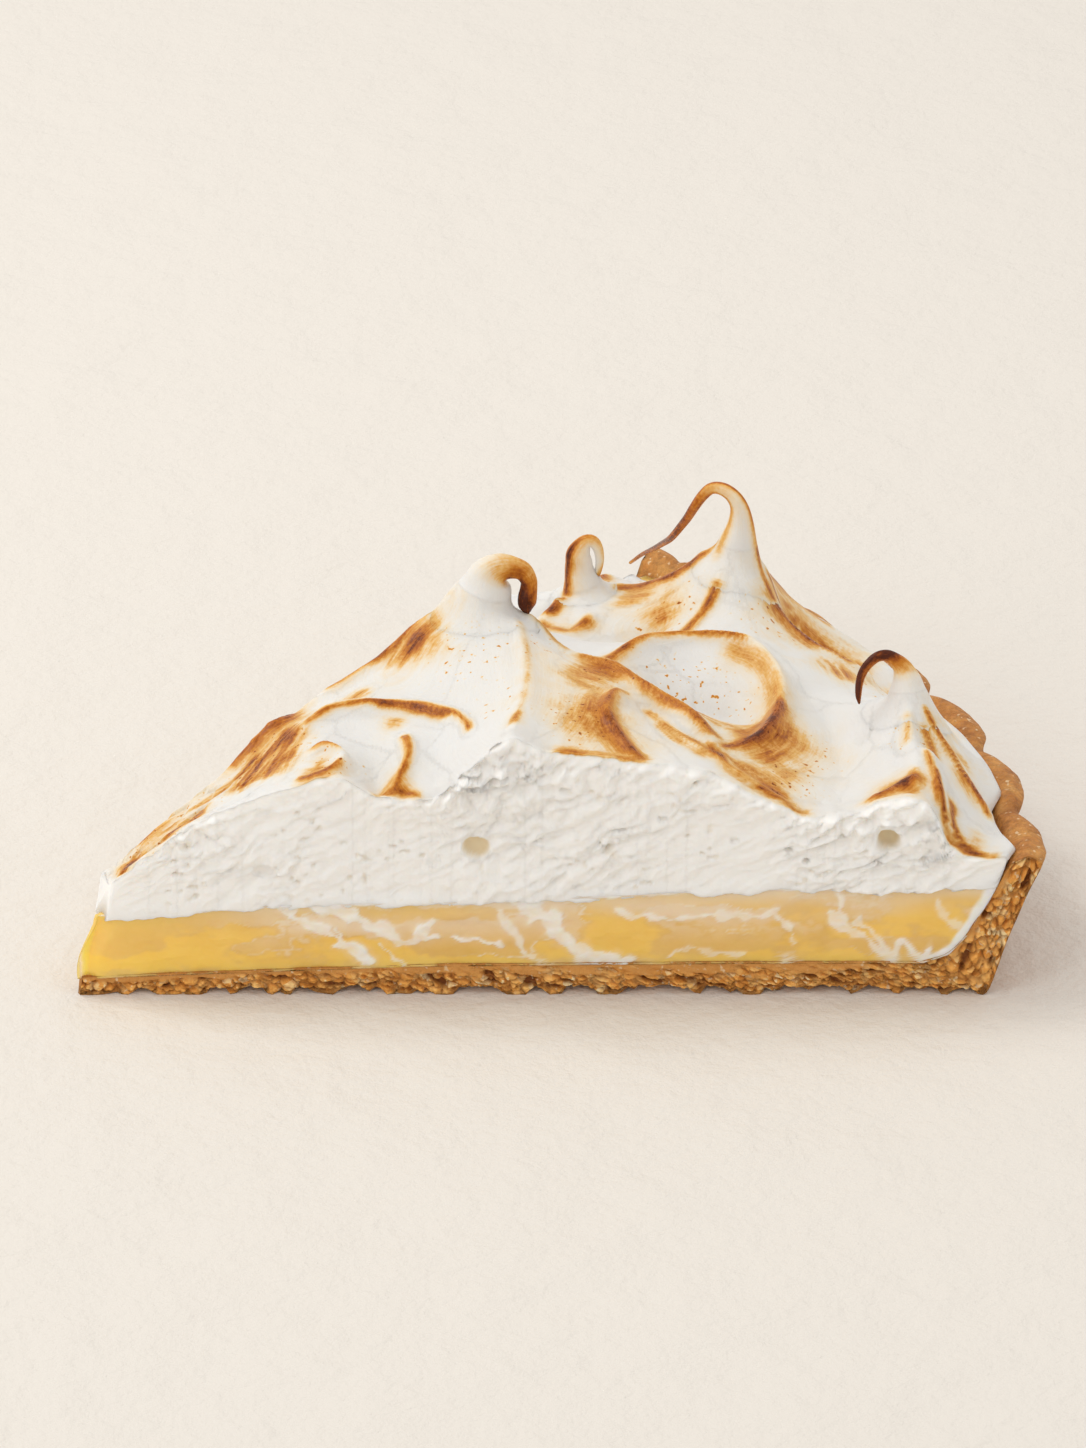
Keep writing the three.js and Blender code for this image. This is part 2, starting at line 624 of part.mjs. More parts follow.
// A round section carried along a curve and thinned towards its end, closed by a cap at each end.
function buildPeak(points) {
  const route = new THREE.CatmullRomCurve3(points.map(([x, y, z]) => new THREE.Vector3(x, y, z)));
  const girth = new THREE.CatmullRomCurve3(points.map((p, k) => new THREE.Vector3(p[3], k, 0)));
  const skin = new Skin();
  const rings = [];
  const side = new THREE.Vector3(0.2, -1, 0.1).normalize();
  for (let k = 0; k <= STEPS_ALONG_A_PEAK; k += 1) {
    const t = k / STEPS_ALONG_A_PEAK;
    const middle = route.getPoint(t);
    const ahead = route.getTangent(t);
    side.addScaledVector(ahead, -side.dot(ahead)).normalize();
    const up = new THREE.Vector3().crossVectors(ahead, side);
    const radius = Math.max(girth.getPoint(t).x, THINNEST_PEAK);
    const ring = [];
    for (let n = 0; n < SIDES_OF_A_PEAK; n += 1) {
      const turn = (2 * Math.PI * n) / SIDES_OF_A_PEAK;
      const point = middle.clone().addScaledVector(side, radius * Math.cos(turn));
      ring.push(point.addScaledVector(up, radius * Math.sin(turn)));
    }
    rings.push(ring);
  }
  for (let k = 0; k < STEPS_ALONG_A_PEAK; k += 1) {
    for (let n = 0; n < SIDES_OF_A_PEAK; n += 1) {
      const m = (n + 1) % SIDES_OF_A_PEAK;
      skin.quad(rings[k][n], rings[k][m], rings[k + 1][m], rings[k + 1][n]);
    }
  }
  for (let n = 1; n < SIDES_OF_A_PEAK - 1; n += 1) {
    skin.triangle(rings[0][0], rings[0][n + 1], rings[0][n]);
    skin.triangle(rings.at(-1)[0], rings.at(-1)[n], rings.at(-1)[n + 1]);
  }
  return toSolid(skin.geometry());
}

function buildMeringue() {
  const draw = seededDraw(RELIEF_SEED);
  const skin = new Skin();
  const loops = [];
  for (let row = 0; row < MERINGUE_WALL.length; row += 1) {
    const place = (share, angle) => tornPoint(share, angle, row, draw);
    loops.push(layerLoop(MERINGUE_STEPS_OUT, MERINGUE_STEPS_ROUND, place));
  }
  loops.push(layerLoop(MERINGUE_STEPS_OUT, MERINGUE_STEPS_ROUND, topPoint));
  addSides(skin, loops);
  addRuledFace(skin, loops[0], MERINGUE_STEPS_OUT, false);
  addTop(skin);
  const peaks = Object.values(CURLED_PEAKS).map(buildPeak);
  const body = peaks.reduce((solid, peak) => solid.add(peak), toSolid(skin.geometry()));
  return toGeometry(body);
}

// ---- The slice ----

function food(name, geometry, color, roughness) {
  const material = new THREE.MeshStandardMaterial({ color, roughness, metalness: 0 });
  const mesh = new THREE.Mesh(geometry, material);
  mesh.name = name;
  return mesh;
}

const slice = new THREE.Group();
slice.add(food('crust', buildCrust(), 0xb88650, 0.85));
slice.add(food('lemon_filling', buildCurd(), 0xe6bd62, 0.35));
slice.add(food('meringue', buildMeringue(), 0xf0e4d0, 0.55));

const box = new THREE.Box3().setFromObject(slice);
const middle = box.getCenter(new THREE.Vector3());
slice.position.set(-middle.x, -middle.y, -box.min.z);

export default slice;
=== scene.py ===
import math

import bmesh
import bpy
import numpy as np
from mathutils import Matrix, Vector


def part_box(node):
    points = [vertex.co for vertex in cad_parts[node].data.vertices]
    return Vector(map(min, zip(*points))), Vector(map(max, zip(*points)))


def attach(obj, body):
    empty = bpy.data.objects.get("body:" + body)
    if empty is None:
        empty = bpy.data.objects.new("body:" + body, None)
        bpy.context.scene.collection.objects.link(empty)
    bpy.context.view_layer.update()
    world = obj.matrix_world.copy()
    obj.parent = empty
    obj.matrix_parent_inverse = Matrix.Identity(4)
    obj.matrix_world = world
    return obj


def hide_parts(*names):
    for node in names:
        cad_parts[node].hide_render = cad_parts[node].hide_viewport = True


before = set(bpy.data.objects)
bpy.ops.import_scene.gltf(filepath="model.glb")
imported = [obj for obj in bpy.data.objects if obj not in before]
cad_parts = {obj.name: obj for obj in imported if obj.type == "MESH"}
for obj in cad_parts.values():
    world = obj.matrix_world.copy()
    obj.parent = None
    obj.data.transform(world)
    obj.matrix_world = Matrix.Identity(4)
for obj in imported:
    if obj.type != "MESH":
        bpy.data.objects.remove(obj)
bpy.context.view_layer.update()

# Slice of lemon meringue tart. Shapes are worked out in the slice's own millimetres: tip at zero, near cut
# along +X, far cut turned to the left by wedge["turn"], and moved into the frame by addMesh.

mm = 0.001
weldStep = 2e-4      # points this close, in mm, are one
wedge = dict(turn=math.radians(52.0), rim=19.0, rimDrop=1.5, settleFrom=8.0, curdTip=1.3,
             sag=(34.5, 4.0, 1.9))
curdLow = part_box("lemon_filling")[0]
origin = np.array([curdLow.x - wedge["curdTip"] * math.cos(wedge["turn"]) * mm, curdLow.y, 0.0])
turnDirection = np.array([math.cos(wedge["turn"]), math.sin(wedge["turn"])])
farSide = np.array([-turnDirection[1], turnDirection[0], 0.0])      # out of the far cut
nearSide = np.array([0.0, -1.0, 0.0])                               # out of the near cut


# noise, all on whole arrays

def hashUnit(cells, seed):
    # each whole-number cell, mixed by multiply-and-shift, gives a repeatable number from 0 to 1
    c = np.asarray(cells).astype(np.int64).astype(np.uint64)
    n = c[..., 0] * np.uint64(374761393) + c[..., 1] * np.uint64(668265263)
    n = n + c[..., 2] * np.uint64(2246822519)
    n = n + np.uint64(seed) * np.uint64(3266489917)
    n = (n ^ (n >> np.uint64(15))) * np.uint64(2246822519)
    n = (n ^ (n >> np.uint64(13))) * np.uint64(3266489917)
    n = n ^ (n >> np.uint64(16))
    return (n & np.uint64(0xffffff)).astype(np.float64) / 0xffffff


def softNoise(points, size, seed):
    # random values at the corners of cubes of the given size, smoothly mixed inside each: -1 to 1
    p = np.asarray(points) / np.asarray(size)
    cell = np.floor(p)
    t = p - cell
    t = t * t * t * (t * (t * 6 - 15) + 10)
    total = 0.0
    for corner in np.ndindex(2, 2, 2):
        weight = np.prod(np.where(corner, t, 1 - t), axis=-1)
        total = total + weight * hashUnit(cell + corner, seed)
    return 2 * total - 1


def layeredNoise(points, size, seed, layers=3, fade=0.5):
    # sum of soft noises, each half the size and fade times as strong as the last
    total, strength, reach = 0.0, 1.0, 0.0
    for k in range(layers):
        total = total + strength * softNoise(points, np.asarray(size) / 2.0 ** k, seed + k)
        reach += strength
        strength *= fade
    return total / reach


def grainNoise(points, size, seed):
    # distance to the nearest and second nearest of one jittered dot per cube, in cube sizes, and that
    # dot's own number
    p = np.asarray(points) / np.asarray(size)
    cell = np.floor(p)
    first = np.full(p.shape[:-1], 9.0)
    second = np.full(p.shape[:-1], 9.0)
    name = np.zeros(p.shape[:-1])
    for step in np.ndindex(3, 3, 3):
        here = cell + np.array(step) - 1
        dot = here + np.stack([hashUnit(here, seed + k) for k in range(3)], -1)
        away = np.sqrt(((dot - p) ** 2).sum(-1))
        closer = away < first
        second = np.where(closer, first, np.minimum(second, away))
        name = np.where(closer, hashUnit(here, seed + 5), name)
        first = np.minimum(first, away)
    return first, second, name


def ease(low, high, value):
    # 0 below low, 1 above high, smooth between
    t = np.clip((value - low) / (high - low), 0, 1)
    return t * t * (3 - 2 * t)


# lines, sections and meshes

def smoothLine(points, step):
    # Catmull-Rom curve through the points, read at equal steps along its length
    p = np.asarray(points, float)
    if len(p) == 2:
        p = np.array([p[0], (p[0] + p[1]) / 2, p[1]])
    q = np.vstack([2 * p[0] - p[1], p, 2 * p[-1] - p[-2]])
    t = np.linspace(0, 1, 24, endpoint=False)[:, None, None]
    a, b, c, d = q[:-3], q[1:-2], q[2:-1], q[3:]
    square, cube = 2 * a - 5 * b + 4 * c - d, 3 * b - a - 3 * c + d
    run = 0.5 * (2 * b + (c - a) * t + square * t ** 2 + cube * t ** 3)
    line = np.vstack([run.transpose(1, 0, 2).reshape(-1, p.shape[1]), p[-1:]])
    length = np.r_[0, np.cumsum(np.linalg.norm(np.diff(line[:, :3], axis=0), axis=1))]
    even = np.linspace(0, length[-1], max(3, int(length[-1] / step) + 1))
    return np.stack([np.interp(even, length, line[:, k]) for k in range(p.shape[1])], -1)


def nearestOn(line, points):
    # distance of each point to a line's closest step, how far along it that step is (mm), and which side
    # it is on
    flat = points.reshape(-1, points.shape[-1])
    tangent = np.gradient(line, axis=0)
    step = np.linalg.norm(line[1] - line[0])
    away = np.empty(len(flat))
    place = np.empty(len(flat), int)
    for start in range(0, len(flat), 20000):
        part = flat[start:start + 20000]
        square = ((part[:, None] - line[None]) ** 2).sum(-1)
        place[start:start + 20000] = square.argmin(1)
        away[start:start + 20000] = np.sqrt(square.min(1))
    gap = flat - line[place]
    side = np.sign(tangent[place, 0] * gap[:, 1] - tangent[place, 1] * gap[:, 0])
    shape = points.shape[:-1]
    return away.reshape(shape), (place * step).reshape(shape), side.reshape(shape)


def settle(height, angle):
    # the rim and what lies on it sit lower towards the far cut: drop times the share of height, times
    # (angle share) squared
    share = np.clip((height - wedge["settleFrom"]) / (wedge["rim"] - wedge["settleFrom"]), 0, 1)
    return height - wedge["rimDrop"] * share * (angle / wedge["turn"]) ** 2


def polar(radius, angle, height):
    # radius along the ray at the angle, height up
    radius, angle, height = np.broadcast_arrays(radius, angle, height)
    return np.stack([radius * np.cos(angle), radius * np.sin(angle), height], -1)


def gridFaces(rows, columns, first=0, flip=False):
    # quads over a grid of points, columns running fastest
    at = first + np.arange(rows * columns).reshape(rows, columns)
    quads = np.stack([at[:-1, :-1], at[1:, :-1], at[1:, 1:], at[:-1, 1:]], -1).reshape(-1, 4)
    return quads[:, ::-1] if flip else quads


def zipFaces(fine, coarse, flip=False):
    # triangles between an edge of many points and one of fewer: each fine step goes to its nearest coarse
    # point
    owner = np.round(np.linspace(0, len(coarse) - 1, len(fine))).astype(int)
    k = np.arange(len(fine) - 1)
    many = np.stack([fine[k], fine[k + 1], coarse[owner[k]], coarse[owner[k]]], -1)
    k = k[owner[k] != owner[k + 1]]
    few = np.stack([fine[k + 1], coarse[owner[k + 1]], coarse[owner[k]], coarse[owner[k]]], -1)
    faces = np.vstack([many, few])
    return faces[:, [1, 0, 2, 2]] if flip else faces


def fanFaces(ring, centre, flip=False):
    # triangles from a middle point to each step of a ring
    middle = np.full(len(ring) - 1, centre)
    faces = np.stack([ring[:-1], ring[1:], middle, middle], -1)
    return faces[:, [1, 0, 2, 2]] if flip else faces


class Sheets:
    # collects grids, zips and fans of points in one list, with named values for each point
    def __init__(self):
        self.points, self.faces, self.values, self.count = [], [], {}, 0

    def add(self, points, **values):
        flat = np.asarray(points, float).reshape(-1, 3)
        first = self.count
        self.points.append(flat)
        for name, value in values.items():
            self.values.setdefault(name, []).append((first, np.asarray(value, float)))
        self.count += len(flat)
        return first + np.arange(len(flat)).reshape(np.asarray(points).shape[:-1])

    def grid(self, points, flip=False, **values):
        at = self.add(points, **values)
        self.faces.append(gridFaces(at.shape[0], at.shape[1], at[0, 0], flip))
        return at

    def face(self, faces):
        self.faces.append(faces)


def addMesh(name, sheets):
    # welds points that share a place, drops faces that close up, and writes the mesh with its point values
    points = np.vstack(sheets.points)
    key = np.round(points / weldStep).astype(np.int64)
    _, keep, owner = np.unique(key, axis=0, return_index=True, return_inverse=True)
    owner = owner.ravel()
    faces = owner[np.vstack(sheets.faces)]
    repeat = faces == np.roll(faces, 1, axis=1)
    folded = (faces[:, 0] == faces[:, 2]) | (faces[:, 1] == faces[:, 3])
    whole = faces[(repeat.sum(1) == 0) & ~folded]
    single = (repeat.sum(1) == 1) & ~folded
    lone = faces[single][~repeat[single]].reshape(-1, 3)
    mesh = bpy.data.meshes.new(name)
    mesh.vertices.add(len(keep))
    mesh.vertices.foreach_set("co", (points[keep] * mm + origin).astype(np.float32).ravel())
    mesh.loops.add(len(whole) * 4 + len(lone) * 3)
    mesh.loops.foreach_set("vertex_index", np.r_[whole.ravel(), lone.ravel()].astype(np.int32))
    mesh.polygons.add(len(whole) + len(lone))
    starts = np.r_[np.arange(len(whole)) * 4, len(whole) * 4 + np.arange(len(lone)) * 3]
    mesh.polygons.foreach_set("loop_start", starts.astype(np.int32))
    mesh.update(calc_edges=True)
    mesh.polygons.foreach_set("use_smooth", np.ones(len(mesh.polygons), bool))
    for label, parts in sheets.values.items():
        wide = label == "grain"
        full = np.zeros((sheets.count, 3)) if wide else np.zeros(sheets.count)
        for first, value in parts:
            flat = value.reshape(-1, 3) if wide else value.ravel()
            full[first:first + len(flat)] = flat
        kind = "FLOAT_VECTOR" if wide else "FLOAT"
        layer = mesh.attributes.new(label, kind, "POINT")
        layer.data.foreach_set("vector" if wide else "value", full[keep].astype(np.float32).ravel())
    mesh.validate()
    work = bmesh.new()
    work.from_mesh(mesh)
    bmesh.ops.recalc_face_normals(work, faces=work.faces)
    work.to_mesh(mesh)
    work.free()
    thing = bpy.data.objects.new(name, mesh)
    bpy.context.scene.collection.objects.link(thing)
    print(name, len(mesh.vertices), "points", len(whole) * 2 + len(lone), "triangles")
    return thing


# meringue: a skin stretched over its folds

meringue = dict(
    step=0.5, spread=(124, 98), rounds=500, levels=4, softenFirst=0.7, softenLast=0.5, beadGain=1.45,
    tipAtSeam=4.0, tipAtTop=5.4, rimLift=0.25,
    seamEdge=113.6, radial=260, around=154, cutRows=(62, 44), outerRows=6,
    nearTop=[(3.4, 14.6), (4.6, 15.8), (9.7, 20.0), (13.4, 22.5), (20.3, 26.6), (27.0, 28.4), (33.7, 30.5),
             (35.5, 28.6), (40.4, 26.6), (45.3, 27.2), (49.0, 31.6), (52.7, 35.0), (55.1, 35.2),
             (58.1, 33.4), (64.8, 32.9), (72.2, 32.2), (77.0, 31.6), (82.0, 29.1), (86.9, 26.3),
             (90.0, 24.7), (95.4, 25.4), (99.1, 27.4), (102.1, 28.1), (104.6, 27.6), (105.8, 26.2),
             (106.8, 23.4), (107.9, 20.9), (109.6, 19.4), (112.0, 18.9), (117.0, 18.9)],
    farTop=[(3.4, 14.6), (14, 15.2), (21, 16.5), (29, 18.4), (36, 20.4), (45, 21.8), (54, 22.4), (66, 23.5),
            (76, 25.0), (84, 23.4), (92, 20.3), (100, 17.6), (106, 16.3), (111, 15.5), (117, 15.3)],
    # where curd meets meringue: distance from the tip along a cut, height
    seam=[(0, 10.6), (10, 11.2), (24, 12.6), (43, 12.9), (62, 13.7), (85, 14.8), (103, 15.3), (116, 15.7)],
    # degrees from the near cut, radius of the meringue's edge on the rim
    edge=[(0, 114.9), (1.5, 116.2), (4, 114.4), (6.6, 114.2), (9, 116.6), (12, 116.7), (17, 116.4),
          (20, 115.7), (22, 115.4), (27, 116.4), (31, 117.4), (34, 118.6), (37, 118.6), (39.5, 116.8),
          (41.5, 115.8), (45, 114.6), (48, 114.2), (52, 114.0)],
    # how far the edge lies below the rim, by degrees
    edgeDrop=[(0, 0), (28, 0), (34, -0.35), (38, -0.1), (41, 0.8), (46, 2.4), (52, 3.0)],
)

# crest lines [x, y, height], with the height and half-width of the bead along each
crests = dict(
    peakRight=dict(bead=0.7, width=0.8,
                   path=[(54.2, 33, 39.6), (56.4, 32.6, 36.8), (58.3, 31.5, 34.5), (59.9, 29.8, 33.1),
                         (61.8, 28, 32.8), (64.1, 26.8, 32.7), (66.9, 25, 33), (70.2, 21, 32.6),
                         (76.5, 14, 31.7), (79.3, 8, 30.3)]),
    peakLeft=dict(bead=0.5, width=0.8,
                  path=[(46.6, 33, 39.0), (44.5, 32.6, 36.7), (41.3, 31.5, 34.7), (36.9, 28, 32.1),
                        (27.6, 22, 28.7)]),
    peakFront=dict(bead=0.3, width=0.8,
                   path=[(53.1, 32, 39.2), (54.9, 29, 36.9), (56, 15, 35.9), (55.2, 7, 36),
                         (54, 1, 36.5)]),
    peakBack=dict(bead=0.4, width=0.8, path=[(51, 35, 38.5), (48, 42, 32), (45, 50, 26)]),
    scoopTop=dict(bead=0.9, width=0.8,
                  path=[(27.9, 13, 30.7), (31, 16, 30.9), (34, 17, 31.2), (39.8, 17, 31.1),
                        (42.8, 16, 31.3), (45.8, 14, 31.7), (47.7, 11, 32.2), (48.2, 8, 32.2)]),
    scoopTee=dict(bead=0.6, width=0.7,
                  path=[(40.8, 10, 31.2), (41.2, 7, 30.1), (40.4, 3.5, 28.6), (39.2, 1, 27.1)]),
    scoopCurl=dict(bead=0.7, width=0.6,
                   path=[(27.3, 2, 28.9), (29.4, 1.2, 29), (32.1, 1.6, 30.2), (33.5, 4.5, 30.5),
                         (32, 7, 30.6), (30.3, 7.5, 30.5), (28.7, 6, 29.9)]),
    tipRidge=dict(bead=0.5, width=0.8,
                  path=[(27.6, 22, 28.2), (24.6, 19, 28.3), (21.5, 17, 25.7), (19.7, 15.5, 24.1),
                        (17.2, 13.5, 22), (13.6, 11, 20.1), (10.6, 8, 18.6), (7, 4.5, 16.3),
                        (4.4, 1.2, 14.8)]),
    stalkLeft=dict(bead=0.5, width=0.7,
                   path=[(60.7, 60, 29.6), (60.3, 59, 27.6), (58.9, 56, 26.2), (57.6, 53, 25.9)]),
    stalkBowl=dict(bead=0.6, width=0.7,
                   path=[(58.5, 51, 25.6), (61.1, 49, 25.3), (62.6, 50, 25.8), (63.7, 52, 26.3),
                         (63.7, 54, 26.9)]),
    stalkRight=dict(bead=0.5, width=0.7,
                    path=[(64.2, 60.5, 29.3), (65.8, 61, 27.5), (67.6, 61, 27), (69.8, 60, 27.3),
                          (73.8, 58, 29.7), (77.4, 57, 32.7), (79.9, 56, 36.3), (81.7, 56, 39.4)]),
    stalkBack=dict(bead=0.4, width=0.8, path=[(61.5, 62, 27.5), (63, 70, 23), (67, 80, 19.8)]),
    sailRight=dict(bead=0.6, width=0.8,
                   path=[(84.4, 55, 40.4), (85.2, 55, 36.4), (85.9, 54, 33.1), (86.9, 53, 29.5),
                         (88.8, 51, 27), (91.4, 49, 25.2), (94.5, 47, 24), (99.3, 45, 23.1)]),
    sailMiddle=dict(bead=0.4, width=0.7,
                    path=[(83, 54.6, 40.3), (82.5, 53.6, 38.2), (81.5, 52.3, 35.5), (80.1, 50.5, 32.2),
                          (78.4, 47.5, 29.8), (76.3, 44, 29.2)]),
    sailBack=dict(bead=0.5, width=0.8, path=[(83.5, 57, 36), (87, 64, 27), (89.5, 72, 20.5)]),
    backSwirl=dict(bead=0.6, width=0.9, path=[(70, 62, 26.6), (76, 68, 24), (77, 75, 21), (72, 80, 18.6)]),
    bowlRim=dict(bead=0.9, width=0.8,
                 path=[(65, 28, 31.8), (66.4, 30.5, 31.4), (69.6, 35, 31.2), (73, 38, 30.4), (77, 39.5, 30),
                       (81.8, 39.5, 29.7), (84.2, 38.5, 29.5), (86.1, 35, 29.2), (87.6, 30.5, 28.9),
                       (87.7, 25, 28.8), (86.8, 19, 28.7), (85.6, 15.5, 28.4), (83.6, 12.5, 28.5),
                       (81.2, 10, 29), (79.3, 8, 30.3)]),
    bowlLip=dict(bead=0.6, width=0.7,
                 path=[(79.3, 8, 30.3), (80.1, 4.5, 29.6), (83, 2.5, 28.2), (85.7, 1.6, 26.5),
                       (89.4, 0.4, 24.8)]),
    hookRight=dict(bead=0.8, width=0.7,
                   path=[(103.5, 24, 33.3), (104, 22.5, 31.7), (104.9, 21, 29.5), (107, 18, 26.6),
                         (109, 15.5, 24.3), (111.1, 12, 22.1), (112.9, 9, 20.1), (113.8, 6, 19.2)]),
    hookLeft=dict(bead=0.2, width=0.8,
                  path=[(101.4, 23, 33.8), (100.3, 22, 31.2), (99.1, 21, 28.3), (98, 18, 25.6)]),
    hookFront=dict(bead=0.3, width=0.7,
                   path=[(102.6, 22, 31.2), (103.3, 17, 28.9), (103.6, 10, 27.5), (103.6, 4, 27.6)]),
    cornerFold=dict(bead=0.6, width=0.6,
                    path=[(105.6, 12, 28.6), (106.2, 8, 27.3), (106.8, 4.5, 26.3), (107.1, 2.5, 24.1),
                          (107.5, 0.6, 19.9)]),
    darkFold=dict(bead=0.6, width=0.6,
                  path=[(97, 1.5, 25.2), (99.2, 2.5, 25.9), (101.5, 4, 26.4), (103.4, 6, 27)]),
    slopeFold=dict(bead=0.6, width=0.7,
                   path=[(68.5, 20, 32.2), (66.5, 15, 33.7), (65.8, 10, 33.7), (67, 6.5, 32.8),
                         (68.7, 2.5, 32.2), (70.7, 0.6, 31.8)]),
    slopeStreak=dict(bead=0.4, width=0.5,
                     path=[(70.5, 17, 30.9), (73.3, 11.5, 30.9), (76, 8, 30.6), (79, 5, 30.4)]),
    rimSwell=dict(bead=0.3, width=1.0, path=[(110, 26, 21.2), (107.5, 33, 20.4)]),
)

hollows = dict(
    bowlFloor=[(71.5, 28.5, 27.0), (76, 28, 25.4), (81, 27, 24.6), (83.6, 22, 25.0)],
    betweenPeaks=[(60, 46, 27.5), (66, 47, 25), (72, 48, 24.5)],
    behindPeaks=[(55, 54, 24.6), (68, 71, 21.4)],
    behindLeft=[(54.5, 38, 34.2), (57, 36.4, 31.6), (59.6, 35.2, 29.8), (62.4, 33.8, 29.9)],
    behindSail=[(89.8, 57, 20.6), (93.5, 55, 18.6), (99, 51, 17.6), (104.5, 43, 18.4)],
    farCorner=[(66, 84, 17.6), (72, 82, 17.6), (78, 78, 18.0)],
    trough=[(90.2, 32, 26.4), (93.2, 25, 25.6), (94.2, 17.5, 25.1), (94.3, 10, 24.7), (93.8, 4, 24.6)],
    cornerScoop=[(108.3, 7, 23.5), (108.8, 3.6, 21.8), (110.1, 1.8, 20), (112.3, 1, 19.2)],
    scoopFloor=[(32.0, 10.4, 29.9), (36, 8.6, 28.9), (37.2, 5, 27.4), (37.3, 1.4, 26.5)],
    scoopFloorRight=[(43.6, 9, 30.6), (44.4, 6, 29.6), (45.0, 2.6, 28.4)],
)

# curled peaks: path of [x, y, height, thickness], the way the flat side faces, how far out the foot reaches
peaks = dict(
    left=dict(facing=(0.1, -1, 0), foot=7.4, flat=0.85,
              path=[(50.6, 33, 39.8, 3.4), (51.3, 33, 41.8, 2.65), (52.4, 33, 42.8, 1.95),
                    (53.9, 33, 43.0, 1.5), (55.3, 33, 42.4, 1.25), (56.1, 33, 41.2, 1.06),
                    (56.1, 33, 40.0, 1.08), (55.9, 32.8, 38.8, 1.2), (55.8, 32.7, 37.8, 1.05),
                    (55.9, 32.6, 37.0, 0.5)]),
    tall=dict(facing=(0, -1, 0), foot=4.6, flat=0.9,
              path=[(63.0, 60, 27.8, 2.5), (62.6, 60, 29.5, 1.95), (62.5, 60, 31, 1.72),
                    (62.5, 60, 32.2, 1.55), (62.9, 60, 33.3, 1.2), (63.6, 60, 33.95, 0.95),
                    (64.4, 60, 33.8, 0.8), (65, 60, 32.8, 0.66), (65.2, 60, 31.4, 0.56),
                    (65.05, 60, 30.1, 0.48), (64.7, 60, 28.9, 0.4), (64.3, 60, 27.8, 0.2)]),
    sail=dict(facing=(-0.25, -1, 0), foot=6.2, flat=0.75,
              path=[(82.8, 55, 35.9, 2.5), (83.1, 55, 38.7, 1.7), (82.95, 55, 40.9, 1.2),
                    (82.2, 55.2, 42.4, 0.98), (80.9, 55.8, 43.2, 0.87), (79.5, 56.6, 43, 0.76),
                    (78.4, 57.8, 41.5, 0.7), (77.3, 59.4, 39.1, 0.63), (76.2, 61.8, 36, 0.55),
                    (74.6, 66, 31.8, 0.47), (73.3, 72, 27.9, 0.4), (72, 77.5, 24.5, 0.33),
                    (70.9, 81.5, 22.0, 0.28), (69.4, 85.5, 18.9, 0.2)]),
    right=dict(facing=(0.1, -1, 0), foot=6.0, flat=0.85,
               path=[(103.3, 23, 30.6, 2.3), (103.1, 23.4, 32.2, 1.7), (102.5, 23.8, 33.7, 1.15),
                     (101.4, 24, 34.7, 0.86), (100.4, 23.9, 35.1, 0.74), (99.3, 23.5, 35, 0.66),
                     (98.3, 22.9, 34.3, 0.6), (97.6, 22.3, 33.4, 0.56), (97.2, 21.6, 32.2, 0.48),
                     (97.1, 20.9, 31, 0.38), (97.2, 20.4, 30.2, 0.16)]),
)
peakFoot = dict(rows=30, leave=0.9, arrive=1.05, probe=0.8, pinnedRings=(0.0, 0.8), hugTo=0.5, lift=0.02,
                sinkFrom=0.35, sinkTo=1.0, sink=4.5)


def readPairs(pairs, x):
    # straight-line reading of (place, value) pairs
    places, values = zip(*pairs)
    return np.interp(x, places, values)


def edgeRadius(angle):
    # straight-line reading of the meringue's edge by degrees
    return readPairs(meringue["edge"], np.degrees(angle))


def rimSag(angle):
    # the rim lies a little lower round one place: depth times exp(-(degrees away / width)^2)
    place, width, depth = wedge["sag"]
    return depth * np.exp(-((np.degrees(angle) - place) / width) ** 2)


def edgeHeight(angle):
    # the settled rim, plus the lift of the meringue on it, less the drop and the sag there
    drop = readPairs(meringue["edgeDrop"], np.degrees(angle)) + rimSag(angle)
    return settle(wedge["rim"], angle) + meringue["rimLift"] - drop


def skinPins():
    # every point the skin is held at: crests, hollows, both cuts, the rim and the feet of the peaks
    paths = [crest["path"] for crest in crests.values()] + list(hollows.values())
    pins = [smoothLine(path, 0.2) for path in paths]
    r = np.arange(3.4, 117, 0.2)
    pins.append(np.stack([r, 0 * r, readPairs(meringue["nearTop"], r)], -1))
    pins.append(polar(r, wedge["turn"], readPairs(meringue["farTop"], r)))
    angle = np.linspace(0, wedge["turn"], 500)
    pins.append(polar(edgeRadius(angle), angle, edgeHeight(angle)))
    around = np.linspace(0, 2 * np.pi, 40, endpoint=False)
    for peak in peaks.values():
        x, y, z, thick = peak["path"][0]
        for more in peakFoot["pinnedRings"]:
            reach = thick + more
            ring = [x + reach * np.cos(around), y + reach * np.sin(around), 0 * around + z - more]
            pins.append(np.stack(ring, -1))
    return np.vstack(pins)


